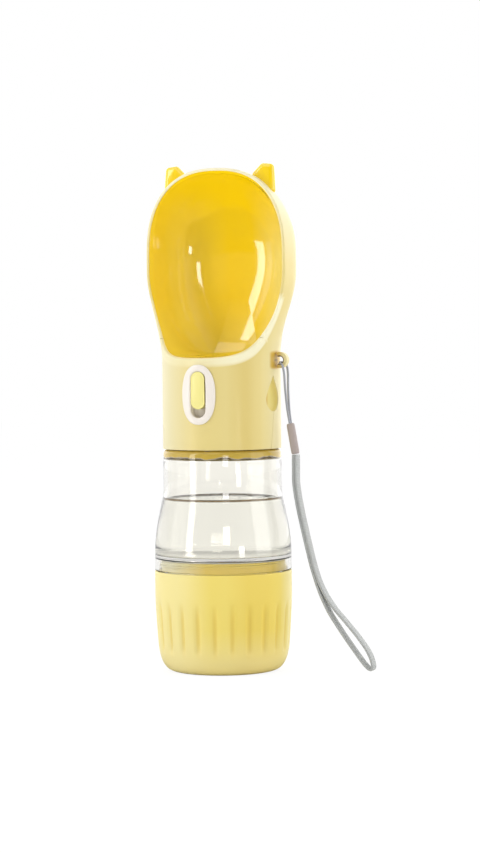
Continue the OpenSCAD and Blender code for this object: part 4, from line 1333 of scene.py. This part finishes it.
def tube(name, path, radius, sides, material, uv_scale=1.0):
    path = np.asarray(path, float)
    along = np.gradient(path, axis=0)
    along /= np.linalg.norm(along, axis=1)[:, None]
    side = np.cross(along[0], [0, 1, 0])
    rows, uv, run = [], [], 0.0
    t = np.linspace(0, 2 * math.pi, sides, endpoint=False)
    for i, p in enumerate(path):
        side = side - along[i] * (side @ along[i])
        side /= np.linalg.norm(side)
        up = np.cross(along[i], side)
        rows.append(p + radius * (np.outer(np.cos(t), side) + np.outer(np.sin(t), up)))
        if i:
            run += np.linalg.norm(p - path[i - 1])
        uv += [(run * uv_scale, v * uv_scale * radius) for v in t]
    form = Form()
    base = form.grid(np.array(rows), wrap_cols=True)
    form.cap(base, list(range(sides))[::-1])
    form.cap(base, [(len(path) - 1) * sides + i for i in range(sides)])
    return form.build(name, material, sharp=60, uv=uv, weld=0.001)


def make_lanyard():
    path = curve_through(CORD_ROUTE, 8)
    cord = tube("lanyard_loop", path, 0.55, 14, MATS["cord"])
    fit(cord, "head", "cord", "lanyard_cord")


def make_sleeve():
    """Moulded sleeve that holds the two strands and the top of the webbing."""
    axis = SLEEVE_END - SLEEVE_TOP
    size = np.linalg.norm(axis)
    axis = axis / size
    across, wide = np.array([0, 1.0, 0]), np.cross(axis, [0, 1.0, 0])
    t = np.linspace(0, 2 * math.pi, 48, endpoint=False)
    rows = []
    for share, scale in ((0, 0.1), (0, 0.72), (0.015, 0.88), (0.05, 0.97), (0.2, 1.0), (0.5, 1.0), (0.8, 1.0), (0.95, 0.98), (0.985, 0.93), (1.0, 0.82), (1.0, 0.1)):
        flat = stadium(2.6, 4.0, t) * scale
        rows.append(SLEEVE_TOP + axis * size * share + np.outer(flat[:, 0], across) + np.outer(flat[:, 1], wide))
    form = Form()
    base = form.grid(np.array(rows), wrap_cols=True)
    form.cap(base, list(range(48))[::-1])
    form.cap(base, [10 * 48 + i for i in range(48)])
    sleeve = form.build("sleeve_moulded", MATS["cord_sleeve"], sharp=60)
    fit(sleeve, "head", "cord_sleeve", "cord_sleeve")
    return sleeve


def make_strap(sleeve):
    """Doubled webbing that opens into a loop in its lower third."""
    mid = curve_through(STRAP_ROUTE, 8)
    step = np.linalg.norm(np.diff(mid, axis=0), axis=1)
    run = np.concatenate([[0], np.cumsum(step)])
    total = run[-1]
    s = np.concatenate([np.linspace(0, total * 0.9, 90), total * (0.9 + 0.1 * np.sin(np.radians(np.linspace(4, 90, 22))))])
    mids = np.stack([np.interp(s, run, mid[:, i]) for i in range(3)], -1)
    along = np.gradient(mids, axis=0)
    along /= np.linalg.norm(along, axis=1)[:, None]
    normal = np.cross(along, [0, 1.0, 0])
    share = s / total
    open_up = 0.62 + 2.1 * smooth((share - 0.52) / 0.36)
    end = np.sqrt(np.maximum(0, 1 - (np.maximum(0, share - 0.9) / 0.1) ** 2))
    half = np.where(share < 0.9, open_up, open_up * end)
    one, two = mids + normal * half[:, None], mids - normal * half[:, None]
    loop = np.concatenate([one, two[:-1][::-1]])
    width, thick = 5.2, 1.15
    along = np.gradient(loop, axis=0)
    along /= np.linalg.norm(along, axis=1)[:, None]
    face = np.cross(along, [0, 1.0, 0])
    cross, w2, t2 = [], width / 2, thick / 2
    for cx, cy, start in ((w2 - 0.4, t2 - 0.4, 0), (-w2 + 0.4, t2 - 0.4, 90), (-w2 + 0.4, -t2 + 0.4, 180), (w2 - 0.4, -t2 + 0.4, 270)):
        for d in np.linspace(0, 90, 4):
            a = math.radians(start + d)
            cross.append((cx + 0.4 * math.cos(a), cy + 0.4 * math.sin(a)))
    cross = np.array(cross)
    rows, uv, gone = [], [], 0.0
    for i, p in enumerate(loop):
        rows.append(p + np.outer(cross[:, 0], [0, 1.0, 0]) + np.outer(cross[:, 1], face[i]))
        if i:
            gone += np.linalg.norm(p - loop[i - 1])
        uv += [(gone, c) for c in cross[:, 0]]
    form = Form()
    base = form.grid(np.array(rows), wrap_cols=True)
    n = len(cross)
    form.cap(base, list(range(n))[::-1])
    form.cap(base, [(len(loop) - 1) * n + i for i in range(n)])
    strap = form.build("webbing_loop", MATS["webbing"], sharp=60, uv=uv, weld=0.001)
    fit(strap, "head", "webbing", "wrist_strap")


# ------------------------------------------------------------------ all pieces

make_lanyard()
make_strap(make_sleeve())
make_cup()
make_thread("cup_thread", CUP_NECK_R, CUP_H + 1.3, 1.0, 2.6, 0.9, "cup", "cup_plastic", 0.7)
make_bottle()
make_thread("neck_thread", NECK_R, SHOULDER_Z + 1.7, 1.2, 2.8, 0.9, "bottle", "clear_plastic")
make_water()
make_heads()
make_eye()
make_bowl()
make_ear(-1, "ear_left")
make_ear(1, "ear_right")
make_bezel()
make_button()
